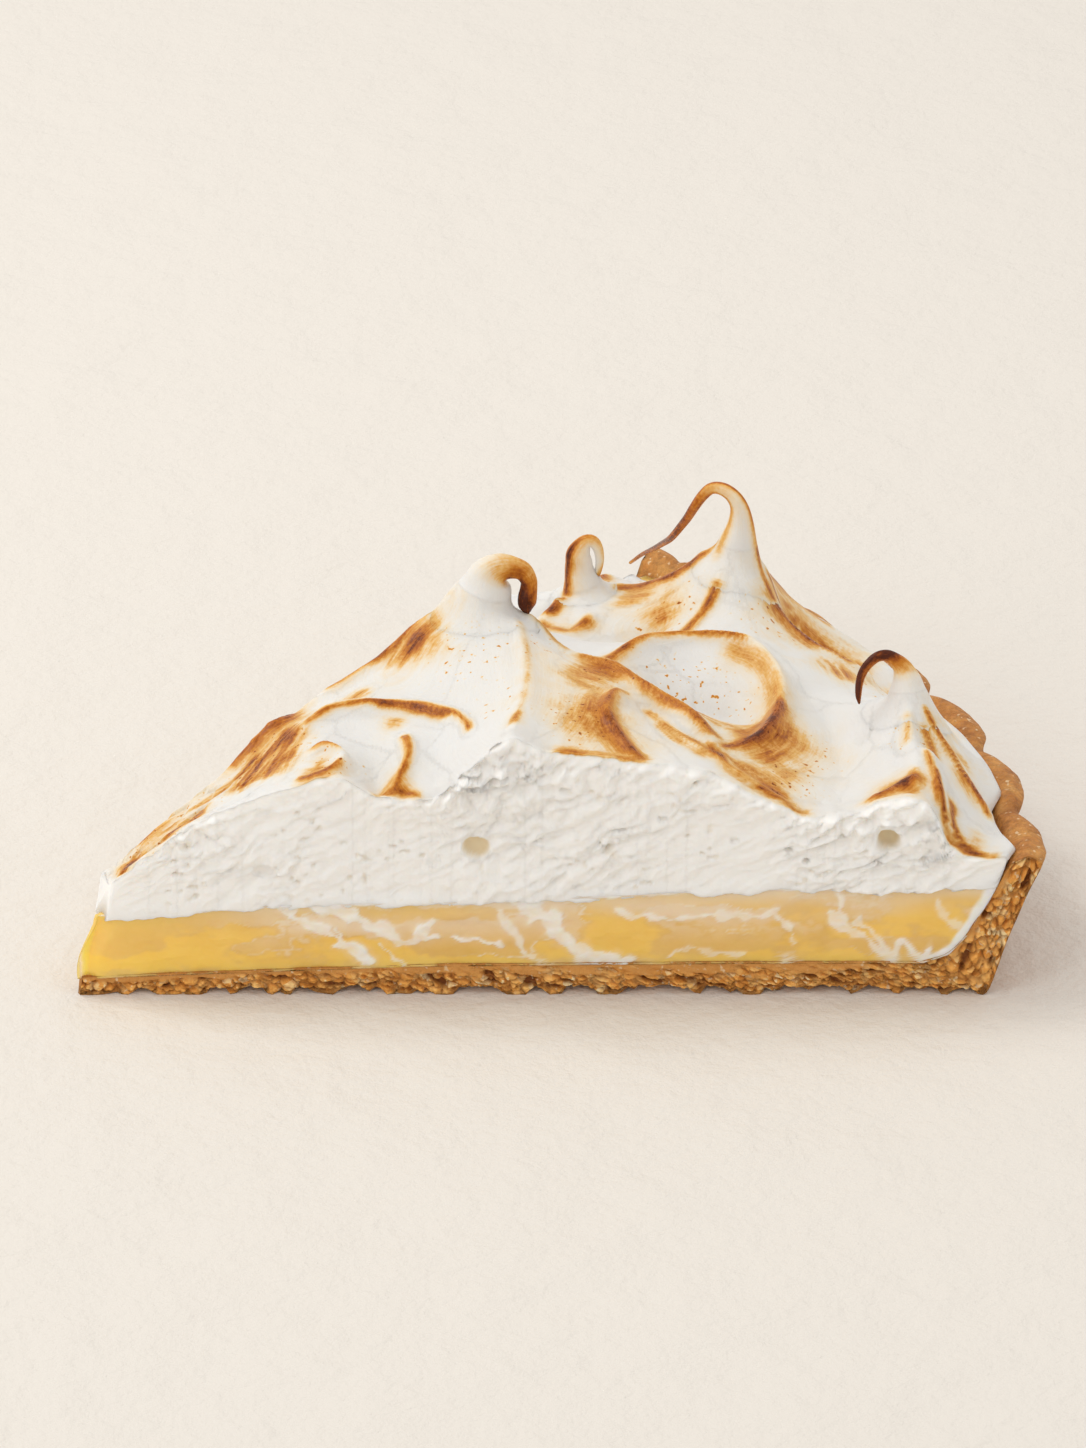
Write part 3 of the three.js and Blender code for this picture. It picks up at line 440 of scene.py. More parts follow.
def stretchSkin():
    # each free node is the mean of its four neighbours: coarse grid first, then finer ones started from it
    pins = skinPins()
    skin = None
    for level in range(meringue["levels"] - 1, -1, -1):
        step = meringue["step"] * 2 ** level
        columns, rows = [int(math.ceil(s / step)) + 1 for s in meringue["spread"]]
        column = np.round(pins[:, 0] / step).astype(int)
        row = np.round(pins[:, 1] / step).astype(int)
        weight, total = np.zeros((rows, columns)), np.zeros((rows, columns))
        np.add.at(weight, (row, column), 1)
        np.add.at(total, (row, column), pins[:, 2])
        held = weight > 0
        if skin is None:
            skin = np.full((rows, columns), 24.0)
        else:
            y, x = np.meshgrid(np.arange(rows) / 2, np.arange(columns) / 2, indexing="ij")
            skin = readGrid(skin, x, y, 1.0)
        skin[held] = total[held] / weight[held]
        for _ in range(meringue["rounds"]):
            wide = np.pad(skin, 1, mode="edge")
            mean = (wide[:-2, 1:-1] + wide[2:, 1:-1] + wide[1:-1, :-2] + wide[1:-1, 2:]) / 4
            skin = np.where(held, skin, mean)
    return skin


def readGrid(grid, x, y, step):
    # cubic reading between the nodes of a grid
    column = np.clip(x / step, 1, grid.shape[1] - 2.001)
    row = np.clip(y / step, 1, grid.shape[0] - 2.001)
    c, r = column.astype(int), row.astype(int)
    s, t = column - c, row - r
    cubic = lambda u: (0.5 * (-u + 2 * u * u - u ** 3), 0.5 * (2 - 5 * u * u + 3 * u ** 3),
                       0.5 * (u + 4 * u * u - 3 * u ** 3), 0.5 * (u ** 3 - u * u))
    across, along = cubic(s), cubic(t)
    rows = [np.clip(r + j - 1, 0, grid.shape[0] - 1) for j in range(4)]
    columns = [np.clip(c + i - 1, 0, grid.shape[1] - 1) for i in range(4)]
    return sum(along[j] * across[i] * grid[rows[j], columns[i]] for j in range(4) for i in range(4))


def soften(grid, width):
    # bell-shaped blur of a grid, width in nodes
    reach = int(3 * width) + 1
    bell = np.exp(-np.arange(-reach, reach + 1) ** 2 / (2 * width * width))
    bell /= bell.sum()
    for _ in range(2):
        wide = np.pad(grid, ((reach, reach), (0, 0)), mode="edge")
        grid = sum(bell[k] * wide[k:k + grid.shape[0]] for k in range(2 * reach + 1)).T
    return grid


def layBeads(skin):
    # along each crest: height times exp(-(distance / width)^2 / 2), faded towards both ends
    y, x = [meringue["step"] * k for k in np.indices(skin.shape)]
    plan = np.stack([x, y], -1)
    result = skin.copy()
    for crest in crests.values():
        line = smoothLine(crest["path"], 0.4)[:, :2]
        low, high = line.min(0) - 4, line.max(0) + 4
        near = ((plan > low) & (plan < high)).all(-1)
        away, along, _ = nearestOn(line, plan[near])
        share = along / along.max()
        taper = np.clip(np.minimum(share, 1 - share) * 6, 0, 1)
        bell = np.exp(-(away / crest["width"]) ** 2 / 2)
        result[near] += meringue["beadGain"] * crest["bead"] * taper * bell
    return result


skin = soften(layBeads(soften(stretchSkin(), meringue["softenFirst"])), meringue["softenLast"])
print("skin stretched", skin.shape)


def skinHeight(x, y):
    # cubic reading of the stretched skin
    return readGrid(skin, x, y, meringue["step"])


def seamHeight(radius):
    # straight-line reading of the seam between curd and meringue
    return readPairs(meringue["seam"], radius)


# strokes of browning on the skin: half-width, strength, how streaky it is (0 to 1) and path of [x, y]
toast = dict(
    tipSkin=(2.0, 0.34, 0.9, [(5.4, 0.4), (7.6, 2.6), (10.6, 6), (14, 9)]),
    tipDark=(0.7, 0.9, 0.6, [(5.4, 0.5), (6.4, 1.5), (8.2, 4)]),
    tipBack=(1.2, 0.75, 0.8, [(7, 5.5), (10, 9.5), (13.5, 13), (16, 16)]),
    tipMiddle=(0.8, 0.7, 0.7, [(10.6, 0.6), (12.4, 3), (15, 4.6), (16.5, 7.5)]),
    tipHigh=(0.55, 0.62, 0.9, [(13.5, 8), (17, 9.5), (20.4, 11.5), (23.1, 14.6)]),
    tipCrest=(1.7, 0.95, 0.5, [(18.5, 14.8), (21, 17), (23, 18.6), (25.8, 20.3), (27.6, 22.3)]),
    fanLow=(1.1, 0.68, 1.0, [(20, 5), (22.3, 10), (25.4, 14.1), (27.8, 16.6)]),
    fanMiddle=(1.0, 0.72, 1.0, [(23.4, 5), (24.9, 9.1), (26.9, 12.5), (28, 14.5)]),
    fanHigh=(0.9, 0.42, 1.0, [(26, 4), (26.6, 8), (27.5, 11.5)]),
    leftEdge=(0.6, 0.75, 0.4, [(30, 24), (33.2, 26), (36.9, 28.2), (40, 30)]),
    leftSmall=(0.8, 0.5, 0.7, [(32.6, 18), (34.9, 20.6), (36.7, 22.2)]),
    leftFlank=(2.5, 0.68, 0.9, [(39.2, 24.5), (40.7, 27.4), (42.5, 30), (45.6, 31.5)]),
    leftFlankCore=(0.6, 0.8, 0.7, [(40.2, 25.8), (41.6, 28.2), (43.5, 30.4)]),
    frontLine=(0.4, 0.22, 0.5, [(54.9, 30.6), (55.9, 23), (55.9, 14.7), (55.3, 8), (53.9, 2.6)]),
    # frontShade: painted shade down the right side of the left peak's front, laid on as a weak browning
    # stroke
    frontShade=(3.2, 0.08, 0.3, [(57.5, 28.5), (58.5, 20), (58.5, 12), (57.5, 6)]),
    frontFoot=(0.6, 0.5, 0.5, [(55.3, 7), (53.9, 2.2)]),
    scoopTop=(0.36, 0.66, 0.3, [(27.9, 13.3), (31.1, 15.5), (34, 16.6), (38.3, 17), (42.8, 15.7),
                                (46.4, 12.8), (48.4, 10), (49, 7.6)]),
    scoopDark=(0.36, 0.72, 0.3, [(36.5, 16.7), (38.5, 16.6), (41.5, 15.8), (45, 13.5), (46.6, 12)]),
    scoopBrow=(1.2, 0.36, 0.7, [(37.5, 14.6), (39.5, 13.6), (41.5, 12.6)]),
    scoopCurl=(0.45, 0.75, 0.4, [(27.3, 2.4), (29.4, 1.2), (32.1, 1.6), (33.6, 3.6)]),
    scoopCurlWide=(1.7, 0.62, 0.9, [(28, 3.6), (30.4, 2.6), (33, 4)]),
    scoopLoop=(0.6, 0.5, 0.9, [(28.6, 6.6), (30.3, 7.6), (32.2, 7.2), (33.6, 5)]),
    scoopTee=(0.34, 0.72, 0.3, [(40.4, 10.6), (41.2, 8.2), (41.3, 5.6), (40.4, 2.8), (39.2, 0.3)]),
    scoopFoot=(0.45, 0.62, 0.6, [(36.6, 0.3), (38.4, 1.2), (40.2, 1.4), (43.4, 0.3)]),
    scoopFootWide=(1.3, 0.4, 0.8, [(37.6, 0.8), (39.8, 2.2), (41.8, 0.8)]),
    stalkBowl=(0.75, 0.62, 0.2, [(57.4, 53.6), (57.8, 52), (59, 50.6), (61.1, 49.7), (63.2, 50.8),
                                 (64.0, 52.8)]),
    stalkGlow=(2.2, 0.3, 0.5, [(60, 53), (62, 52.5)]),
    stalkSide=(0.6, 0.85, 0.2, [(60.6, 58.8), (59.4, 56.2), (58, 53.6)]),
    saddle=(0.5, 0.8, 0.3, [(66.5, 60.4), (69.8, 59.4), (73.5, 57.6), (76.9, 56.4), (79.5, 55.8),
                            (81.4, 55.3)]),
    saddleLow=(1.8, 0.42, 0.8, [(66.5, 58.5), (70.3, 56.4), (73.5, 55)]),
    sailRidge=(0.4, 0.8, 0.2, [(84.8, 55), (85.5, 54.4), (86.6, 53), (88.8, 51), (91.4, 49), (94.5, 47),
                               (98, 45.5)]),
    sailSpread=(2.0, 0.5, 0.8, [(86, 53), (88.2, 50.8), (90.7, 48), (93.4, 46)]),
    sailTail=(2.1, 0.6, 0.9, [(93, 44.5), (95, 42), (96, 37.5)]),
    sailMiddle=(0.55, 0.75, 0.5, [(80.5, 50.8), (79.5, 49), (78, 46.6), (76, 43.4), (74.8, 40.5)]),
    tanPatch=(2.8, 0.62, 0.7, [(70, 49.8), (72.8, 50.4), (76.6, 49.4)]),
    tanLine=(0.6, 0.5, 0.5, [(67.5, 46), (69, 44), (71, 42.5)]),
    bowlRim=(0.36, 0.62, 0.2, [(65.6, 28.6), (66.8, 31), (69.8, 35), (73, 37.8), (77, 39.3), (81.8, 39.3),
                               (84.2, 38.3)]),
    bowlRimLeft=(0.7, 0.4, 0.5, [(65.4, 28.4), (66.8, 31.2), (69.6, 34.8)]),
    bowlRimRight=(1.3, 0.36, 0.4, [(80, 38), (84, 35.6), (86, 32), (86.8, 27), (86.8, 22)]),
    bowlInside=(2.0, 0.46, 0.8, [(86, 25), (85.6, 20), (83.4, 15.6), (80, 13.4)]),
    bowlRimLow=(0.9, 0.72, 0.4, [(87.6, 24), (87.3, 20.6), (86.5, 17.8), (85, 14.4), (83, 12), (81.2, 10.1)]),
    bowlGloss=(0.45, 0.8, 0.2, [(86.9, 19), (85.5, 15.4), (83.3, 12.3), (81, 10), (79.4, 8.4)]),
    bowlOutside=(2.2, 0.66, 0.8, [(82.8, 8.8), (85.3, 11), (87.9, 15.3), (88.9, 20.5)]),
    bowlStreakA=(0.7, 0.55, 1.0, [(68.6, 26.4), (73, 22), (78, 18), (82.4, 15.4)]),
    bowlStreakB=(0.6, 0.5, 1.0, [(70.5, 22.5), (75.5, 17.5), (80.4, 13.6)]),
    bowlStreakC=(0.45, 0.5, 0.8, [(69.6, 20.6), (73.6, 16.2), (77.6, 12.4), (80.4, 10.2)]),
    crestRight=(0.55, 0.55, 0.6, [(61.5, 27.6), (66, 25), (69.8, 21.2), (73.2, 17), (76.5, 13.8),
                                  (79.1, 9.6)]),
    crestWide=(2.3, 0.52, 0.8, [(61.5, 26), (65, 23.5), (68, 21)]),
    crestUnder=(2.8, 0.48, 0.8, [(60, 22), (63.5, 20.5), (67, 19.5)]),
    crestFine=(0.4, 0.42, 0.3, [(54.2, 33), (56.4, 32.6), (58.3, 31.5), (59.9, 29.8), (61.8, 28)]),
    slopeFold=(0.6, 0.68, 0.4, [(68.2, 19.6), (66.5, 15.5), (65.9, 11), (66.8, 6.6), (68.6, 3), (70.8, 0.3)]),
    slopeFoldWide=(2.0, 0.5, 0.7, [(66, 17.5), (64.8, 12), (65.4, 7), (67.2, 3), (68.4, 0.5)]),
    slopeLeft=(3.0, 0.4, 0.7, [(61, 2.5), (62.6, 6.5), (63.6, 10.5), (64, 14)]),
    slopeEdge=(0.7, 0.55, 0.6, [(58.6, 0.4), (63.6, 0.4), (67.3, 0.4), (71.5, 0.4)]),
    slopeStreakA=(0.5, 0.5, 0.8, [(70.2, 17), (73.4, 11.6), (76.2, 8.4), (78.8, 5.9)]),
    slopeStreakB=(0.45, 0.4, 0.9, [(71.5, 13.2), (74.4, 8.4), (78.4, 4.6)]),
    lipLow=(0.6, 0.7, 0.8, [(79.2, 7), (80.4, 3.8), (83.2, 2), (86.6, 1), (90, 0.3)]),
    lipMiddle=(0.6, 0.55, 0.9, [(79, 8), (82, 6), (85.2, 4), (88.4, 2)]),
    lipWide=(2.2, 0.5, 0.9, [(80, 6.4), (84, 4), (88.4, 1.6)]),
    lipDark=(0.7, 0.8, 0.3, [(78, 9), (79, 6.5), (79.8, 4)]),
    lipEnd=(0.8, 0.5, 0.5, [(89.2, 0.9), (90.8, 0.3)]),
    outPatch=(2.0, 0.5, 1.0, [(84.5, 7.6), (87, 6.2), (89.3, 4.6)]),
    hookSpot=(0.45, 0.4, 0.5, [(103.2, 19.5), (103.1, 17), (102.9, 14.6), (103, 12.8)]),
    darkFold=(1.0, 0.72, 0.4, [(96.6, 1.4), (99.1, 2.3), (101.4, 3.8), (103.3, 5.5), (105, 7)]),
    darkGlow=(2.4, 0.42, 0.7, [(99.5, 0.8), (101.5, 2.2), (104, 4.4)]),
    hookLines=(0.3, 0.5, 0.3, [(104.9, 12), (105.6, 8.5), (106.1, 5), (106.4, 2)]),
    cornerBrow=(0.4, 0.7, 0.5, [(106.4, 1.2), (108.4, 0.7), (111, 0.4), (114.4, 0.3)]),
    foldPanel=(1.3, 0.36, 0.9, [(106.6, 22), (108, 20.6), (109.4, 19.2)]),
    darkCore=(0.75, 1.15, 0.2, [(100.6, 3.3), (102, 4.4), (103.4, 5.6)]),
    hookRidge=(0.33, 0.95, 0.2, [(105.2, 20.6), (107, 18), (108.6, 15.8), (110.1, 13.4), (111.5, 11.2),
                                 (113.4, 7.6)]),
    hookSoft=(1.5, 0.3, 0.7, [(108.6, 14.4), (110.4, 11.4), (112.2, 8)]),
    hookTan=(2.0, 0.42, 0.9, [(107.6, 19), (109.4, 17), (110.6, 14.6)]),
    cornerFold=(0.25, 1.0, 0.2, [(106.2, 8), (106.8, 4.5), (107.1, 2.5), (107.4, 0.8)]),
    cornerScoop=(0.36, 1.05, 0.2, [(108.4, 6.8), (108.2, 4), (108.7, 2.3), (110, 1.1), (112.4, 0.5)]),
    cornerTan=(1.5, 0.5, 0.8, [(109.8, 2.8), (111.4, 2.6), (113, 2.3)]),
    cornerStreak=(0.5, 0.6, 0.5, [(104.9, 18.5), (106, 15), (106.5, 11)]),
    backLeft=(2.0, 0.5, 0.9, [(46, 44), (44.5, 49), (42.5, 53)]),
    backSwirl=(1.2, 0.75, 0.6, [(70, 62), (75.8, 68), (76.6, 75), (71.6, 80)]),
    backStalk=(1.0, 0.6, 0.6, [(61.5, 63), (63, 70), (66.6, 79)]),
    backSail=(1.4, 0.65, 0.7, [(84, 59), (87, 64.5), (89.3, 71)]),
    backRim=(1.8, 0.38, 1.0, [(100, 50), (105, 40), (108.6, 29)]),
    foldTan=(2.6, 0.52, 0.8, [(87, 57), (90.5, 58.5), (95, 57), (99.5, 52)]),
    foldTanLow=(1.6, 0.45, 0.9, [(87.5, 64), (91.5, 66), (96, 64.5)]),
    foldEdge=(0.38, 0.8, 0.3, [(86.4, 55.6), (89, 54), (92.6, 52), (96, 50.4), (99.4, 48.6)]),
    backStrip=(1.0, 0.5, 0.9, [(68, 84), (74, 82), (80, 78.5)]),
    farEdge=(1.1, 0.5, 0.9, [(22, 27), (31, 38.6), (40, 50)]),
)
# how a stroke is laid on: widening, gain plain and from its streaks, core and halo strength, halo spread
# plain and by width, reach in widths, and how little a difference in height counts
brush = dict(
    widen=1.12, gain=1.14, streakGain=0.44, core=0.64, halo=0.42, spread=1.95, spreadByWidth=0.32, reach=4.5,
    heightShare=0.5, build=0.4, ceiling=0.36, ragged=0.3, raggedLength=3.0, streakLength=5.0, streakWidth=0.5,
    blotch=0.3, blotchSize=2.2,
)
# places with small brown specks: x, y, radius, strength
speckled = [(50, 23, 6, 0.5), (46.5, 25, 4, 0.45), (53, 12, 4, 0.5), (67, 22, 5, 0.5), (76, 27, 8, 1.0),
            (62, 8, 5, 0.7), (56.5, 27, 3.5, 0.6), (88, 6.5, 4, 0.9), (90, 14, 5, 0.6), (103, 15, 3, 0.7),
            (32, 4, 4, 0.6), (74, 50, 5, 0.5), (86, 47, 4, 0.5), (12, 6, 7, 0.7), (24, 13, 6, 0.6),
            (100, 40, 6, 0.4), (72, 72, 9, 0.5)]


def browning(points):
    # each stroke gives strength times (core + halo), core exp(-(distance / width)^2) and halo wider and
    # weaker, thinned by noise that runs along the stroke; the strongest counts in full, the next a little
    flat = points.reshape(-1, 3)
    plan = flat[:, :2]
    amount = np.zeros(len(flat))
    grain = np.zeros((len(flat), 3))
    best = np.full(len(flat), 1e9)
    for k, (halfWidth, strong, streaky, path) in enumerate(toast.values()):
        width = brush["widen"] * halfWidth
        strength = strong * (brush["gain"] + brush["streakGain"] * streaky)
        line = smoothLine([tuple(p) + (0.0,) for p in path], 0.3)[:, :2]
        reach = width * brush["reach"]
        near = np.flatnonzero(((plan > line.min(0) - reach) & (plan < line.max(0) + reach)).all(-1))
        if not len(near):
            continue
        deep = np.column_stack([line, skinHeight(line[:, 0], line[:, 1])])
        weigh = [1, 1, brush["heightShare"]]
        away, along, side = nearestOn(deep * weigh, flat[near] * weigh)
        across = away * side
        zero = np.zeros(len(near))
        edge = np.stack([along / brush["raggedLength"], zero, zero + k * 3.3], -1)
        ragged = 1 + brush["ragged"] * layeredNoise(edge, 1.0, 17, 2)
        place = np.stack([along / brush["streakLength"], across / brush["streakWidth"], zero + k * 7.7], -1)
        streak = 1 - streaky * (0.42 + 0.58 * layeredNoise(place, 1.0, 23, 2))
        blotch = 1 + brush["blotch"] * softNoise(flat[near], brush["blotchSize"], 29)
        end = ease(-0.4 * width, 1.6 * width + 1.0, np.minimum(along, along.max() - along) + 0.25 * width)
        share = away / (width * ragged)
        spread = brush["spread"] + brush["spreadByWidth"] * width
        here = brush["core"] * np.exp(-share ** 2) + brush["halo"] * np.exp(-(share / spread) ** 1.7)
        here = strength * here * streak * blotch * end
        amount[near] = np.maximum(amount[near], here) + brush["build"] * np.minimum(amount[near], here)
        nearer = away / width < best[near]
        chosen = near[nearer]
        best[chosen] = (away / width)[nearer]
        grain[chosen] = np.stack([along, across, zero + k * 5.0], -1)[nearer]
    amount = amount / (1 + brush["ceiling"] * amount ** 1.5)
    return amount.reshape(points.shape[:-1]), grain.reshape(points.shape)


def speckShare(points):
    # how thickly specks lie at each point: strongest of the soft discs
    share = np.zeros(points.shape[:-1])
    for x, y, reach, strength in speckled:
        away = np.hypot(points[..., 0] - x, points[..., 1] - y)
        share = np.maximum(share, strength * np.exp(-(away / reach) ** 3))
    return share


# meringue meshes

def topGrid():
    # rays and arcs over the skin; the height is the skin's, with fine ridges drawn along the crests
    share = np.linspace(0, 1, meringue["radial"] + 1)[:, None]
    angle = np.linspace(0, wedge["turn"], meringue["around"] + 1)[None]
    radius = meringue["tipAtTop"] + (edgeRadius(angle) - meringue["tipAtTop"]) * share
    plan = polar(radius, angle, 0.0)
    x, y = plan[..., 0], plan[..., 1]
    height = skinHeight(x, y)
    height = height + drawnRidges(plan) * ease(0.0, 1.5, (1 - share) * 112)
    height = np.where(share > 0.999, edgeHeight(angle) - 0.5, height)
    fromCut = radius * np.minimum(angle, wedge["turn"] - angle)
    rag = layeredNoise(np.stack([x, y, 0 * x], -1), (1.5, 1.5, 1), 35, 3) * ease(1.5, 0.4, fromCut)
    inside = np.clip((1 - share) * 20, 0, 1)
    height = height + 0.42 * rag * inside * (0.5 + 0.9 * np.exp(-((x - 46) / 7) ** 2))
    # lumps along the far edge, between the tip and the back
    farEdge = ease(5.0, 0.5, radius * (wedge["turn"] - angle)) * ease(6, 10, radius) * ease(75, 55, radius)
    height = height + 0.75 * farEdge * layeredNoise(np.stack([x, y, 0 * x], -1), (3.8, 3.8, 1), 37, 2)
    for peak in peaks.values():
        px, py = peak["path"][0][:2]
        away = np.hypot(x - px, y - py) / peak["foot"]
        height = height - peakFoot["sink"] * (1 - ease(peakFoot["sinkFrom"], peakFoot["sinkTo"], away)) ** 1.5
    return np.stack([x, y, height], -1)


def drawnRidges(plan):
    # fine ridges left by the spatula: noise long along the nearest crest and short across it, fading away
    # from it
    flat = plan.reshape(-1, 3)[:, :2]
    best = np.full(len(flat), 1e9)
    place = np.zeros((len(flat), 3))
    for k, crest in enumerate(crests.values()):
        line = smoothLine(crest["path"], 0.6)[:, :2]
        reach = 7.0
        near = np.flatnonzero(((flat > line.min(0) - reach) & (flat < line.max(0) + reach)).all(-1))
        away, along, side = nearestOn(line, flat[near])
        nearer = away < best[near]
        chosen = near[nearer]
        best[chosen] = away[nearer]
        place[chosen] = np.stack([along / 9, away * side / 1.5, np.full(len(near), k * 4.1)], -1)[nearer]
    ridges = 0.26 * layeredNoise(place, 1.0, 31, 2) * np.exp(-best / 4.0)
    spot = np.column_stack([flat, np.zeros(len(flat))])
    swells = 0.26 * softNoise(spot, 5.0, 37) * (1 - np.exp(-best / 2.5))
    swells = swells + 0.09 * layeredNoise(spot, 2.4, 38, 2)
    # flaky skin near the tip: overlapping steps along the ridge
    c, s = math.cos(0.7), math.sin(0.7)
    along, across = flat[:, 0] * c + flat[:, 1] * s, flat[:, 1] * c - flat[:, 0] * s
    flow = np.column_stack([along / 4.5, across / 1.3, spot[:, 2]])
    step = (flow[:, 0] * 0.9 + 0.8 * layeredNoise(flow, 1.0, 39, 2)) % 1.0
    nearTip = ease(30, 14, flat[:, 0])
    flakes = (0.55 * (1 - step) * ease(0, 0.12, step) + 0.22 * layeredNoise(flow, 1.0, 40, 2)) * nearTip
    return (ridges + swells + flakes - 0.2 * nearTip).reshape(plan.shape[:-1])


tornFace = dict(
    depth=1.4, tilt=math.radians(27), seed=41, farSeed=13, shelf=0.30, folds=0.95, fine=0.36, tiny=0.10,
    swell=0.5,
    lumps=2.0, tornFolds=0.7, tornLift=0.35, poreDepth=0.35,
    # where it is torn roughest: x, height, half-width, half-height, strength
    rough=[(50, 30, 9, 5.5, 1.0), (14, 22, 8, 3.5, 0.6), (99, 23, 9, 4.5, 0.7)],
    # pits in the near cut: [x, height, half-width, half-height, depth]
    pits=[(49.7, 20.4, 1.85, 1.55, 1.5), (100.3, 21.6, 1.5, 1.35, 1.6), (23.7, 17.2, 1.5, 0.75, 0.7),
          (44.5, 18.3, 1.0, 0.5, 0.4), (60.5, 28.5, 0.7, 0.35, 0.4), (81.4, 21.5, 0.6, 0.3, 0.3),
          (88.0, 20.4, 0.5, 0.35, 0.5), (90.2, 19.0, 0.4, 0.3, 0.4), (99.5, 18.6, 0.6, 0.3, 0.4),
          (94.6, 22.3, 0.5, 0.4, 0.4), (72.5, 24.6, 0.5, 0.3, 0.3), (104.5, 19.0, 0.45, 0.3, 0.3)],
)


def tornRelief(along, height, side):
    # how far the torn face stands out: long slanted steps with a sharp lip, rough lumps between them,
    # pores and pits
    c, s = math.cos(tornFace["tilt"]), math.sin(tornFace["tilt"])
    seed = tornFace["seed"] + tornFace["farSeed"] * side
    flat = np.stack([along, height, 0 * along], -1)
    warp = layeredNoise(flat, (9, 5, 1), seed, 3)
    warp2 = layeredNoise(flat, (7, 4, 1), seed + 50, 3)
    u = along * c + height * s + 1.6 * warp
    v = -along * s + height * c + 1.5 * warp2
    rough = 0.35 + 0.65 * ease(-0.35, 0.45, softNoise(flat, (20, 8, 1), seed + 15) + 0.07 * (height - 20))
    torn = 0.0
    for x, z, wide, high, strength in tornFace["rough"]:
        torn = torn + strength * np.exp(-((along - x) / wide) ** 2 - ((height - z) / high) ** 2)
    long = layeredNoise(np.stack([u / 8.0, v / 2.0, 0 * u], -1), 1.0, seed + 3, 2)
    steps = (v / 2.6 + 1.1 * long) % 1.0
    shelf = ease(0.0, 0.7, steps) * ease(1.0, 0.82, steps)
    folds = 0.5 - np.abs(layeredNoise(np.stack([u / 5.2, v / 1.7, 0 * u], -1), 1.0, seed + 23, 3, 0.55))
    fine = 0.5 - np.abs(layeredNoise(np.stack([u / 2.6, v / 0.95, 0 * u], -1), 1.0, seed + 31, 2, 0.55))
    first, _, name = grainNoise(np.stack([u / 1.7, v / 1.25, 0 * u], -1), 1.0, seed + 11)
    lumps = (0.55 - first) * (0.5 + name)
    tiny = layeredNoise(flat, (0.8, 0.6, 1), seed + 37, 2)
    relief = (tornFace["shelf"] * (shelf - 0.5) + tornFace["folds"] * folds + tornFace["fine"] * fine) * rough
    roughest = tornFace["lumps"] * lumps + tornFace["tornFolds"] * folds + tornFace["tornLift"]
    relief = relief + roughest * torn
    relief = relief + tornFace["tiny"] * tiny * (rough + torn)
    relief = relief * tornFace["depth"] + tornFace["swell"] * softNoise(flat, (13, 7, 1), seed + 33) - 0.1
    pores = ease(0.62, 0.80, layeredNoise(flat, (0.9, 0.6, 1), seed + 27, 1))
    pores = pores * ease(0.0, 0.5, softNoise(flat, (7, 4, 1), seed + 29))
    relief = relief - tornFace["poreDepth"] * pores
    # tan for the pores: painted shade; in the pits below it is painted shade over the bubbles' warm floor
    pit = 0.25 * pores
    if not side:
        for x, z, wide, high, deep in tornFace["pits"]:
            wobble = 1 + 0.18 * softNoise(flat, (1.2, 1.2, 1), 47)
            inside = (((along - x) / wide) ** 2 + ((height - z) / high) ** 2) * wobble
            lip = 0.25 * min(deep, 0.6) * np.exp(-((inside - 1.25) / 0.35) ** 2)
            relief = relief * ease(0.7, 1.6, inside) - deep * np.clip(1 - inside ** 1.5, 0, 1) ** 0.5 + lip
            pit = np.maximum(pit, ease(0.6, 1.4, deep) * ease(1.05, 0.5, inside))
    return relief, pit


def cutColumns(count):
    # two columns of a cut face for each step of the skin's edge
    return np.linspace(0, 1, count * 2 + 1)


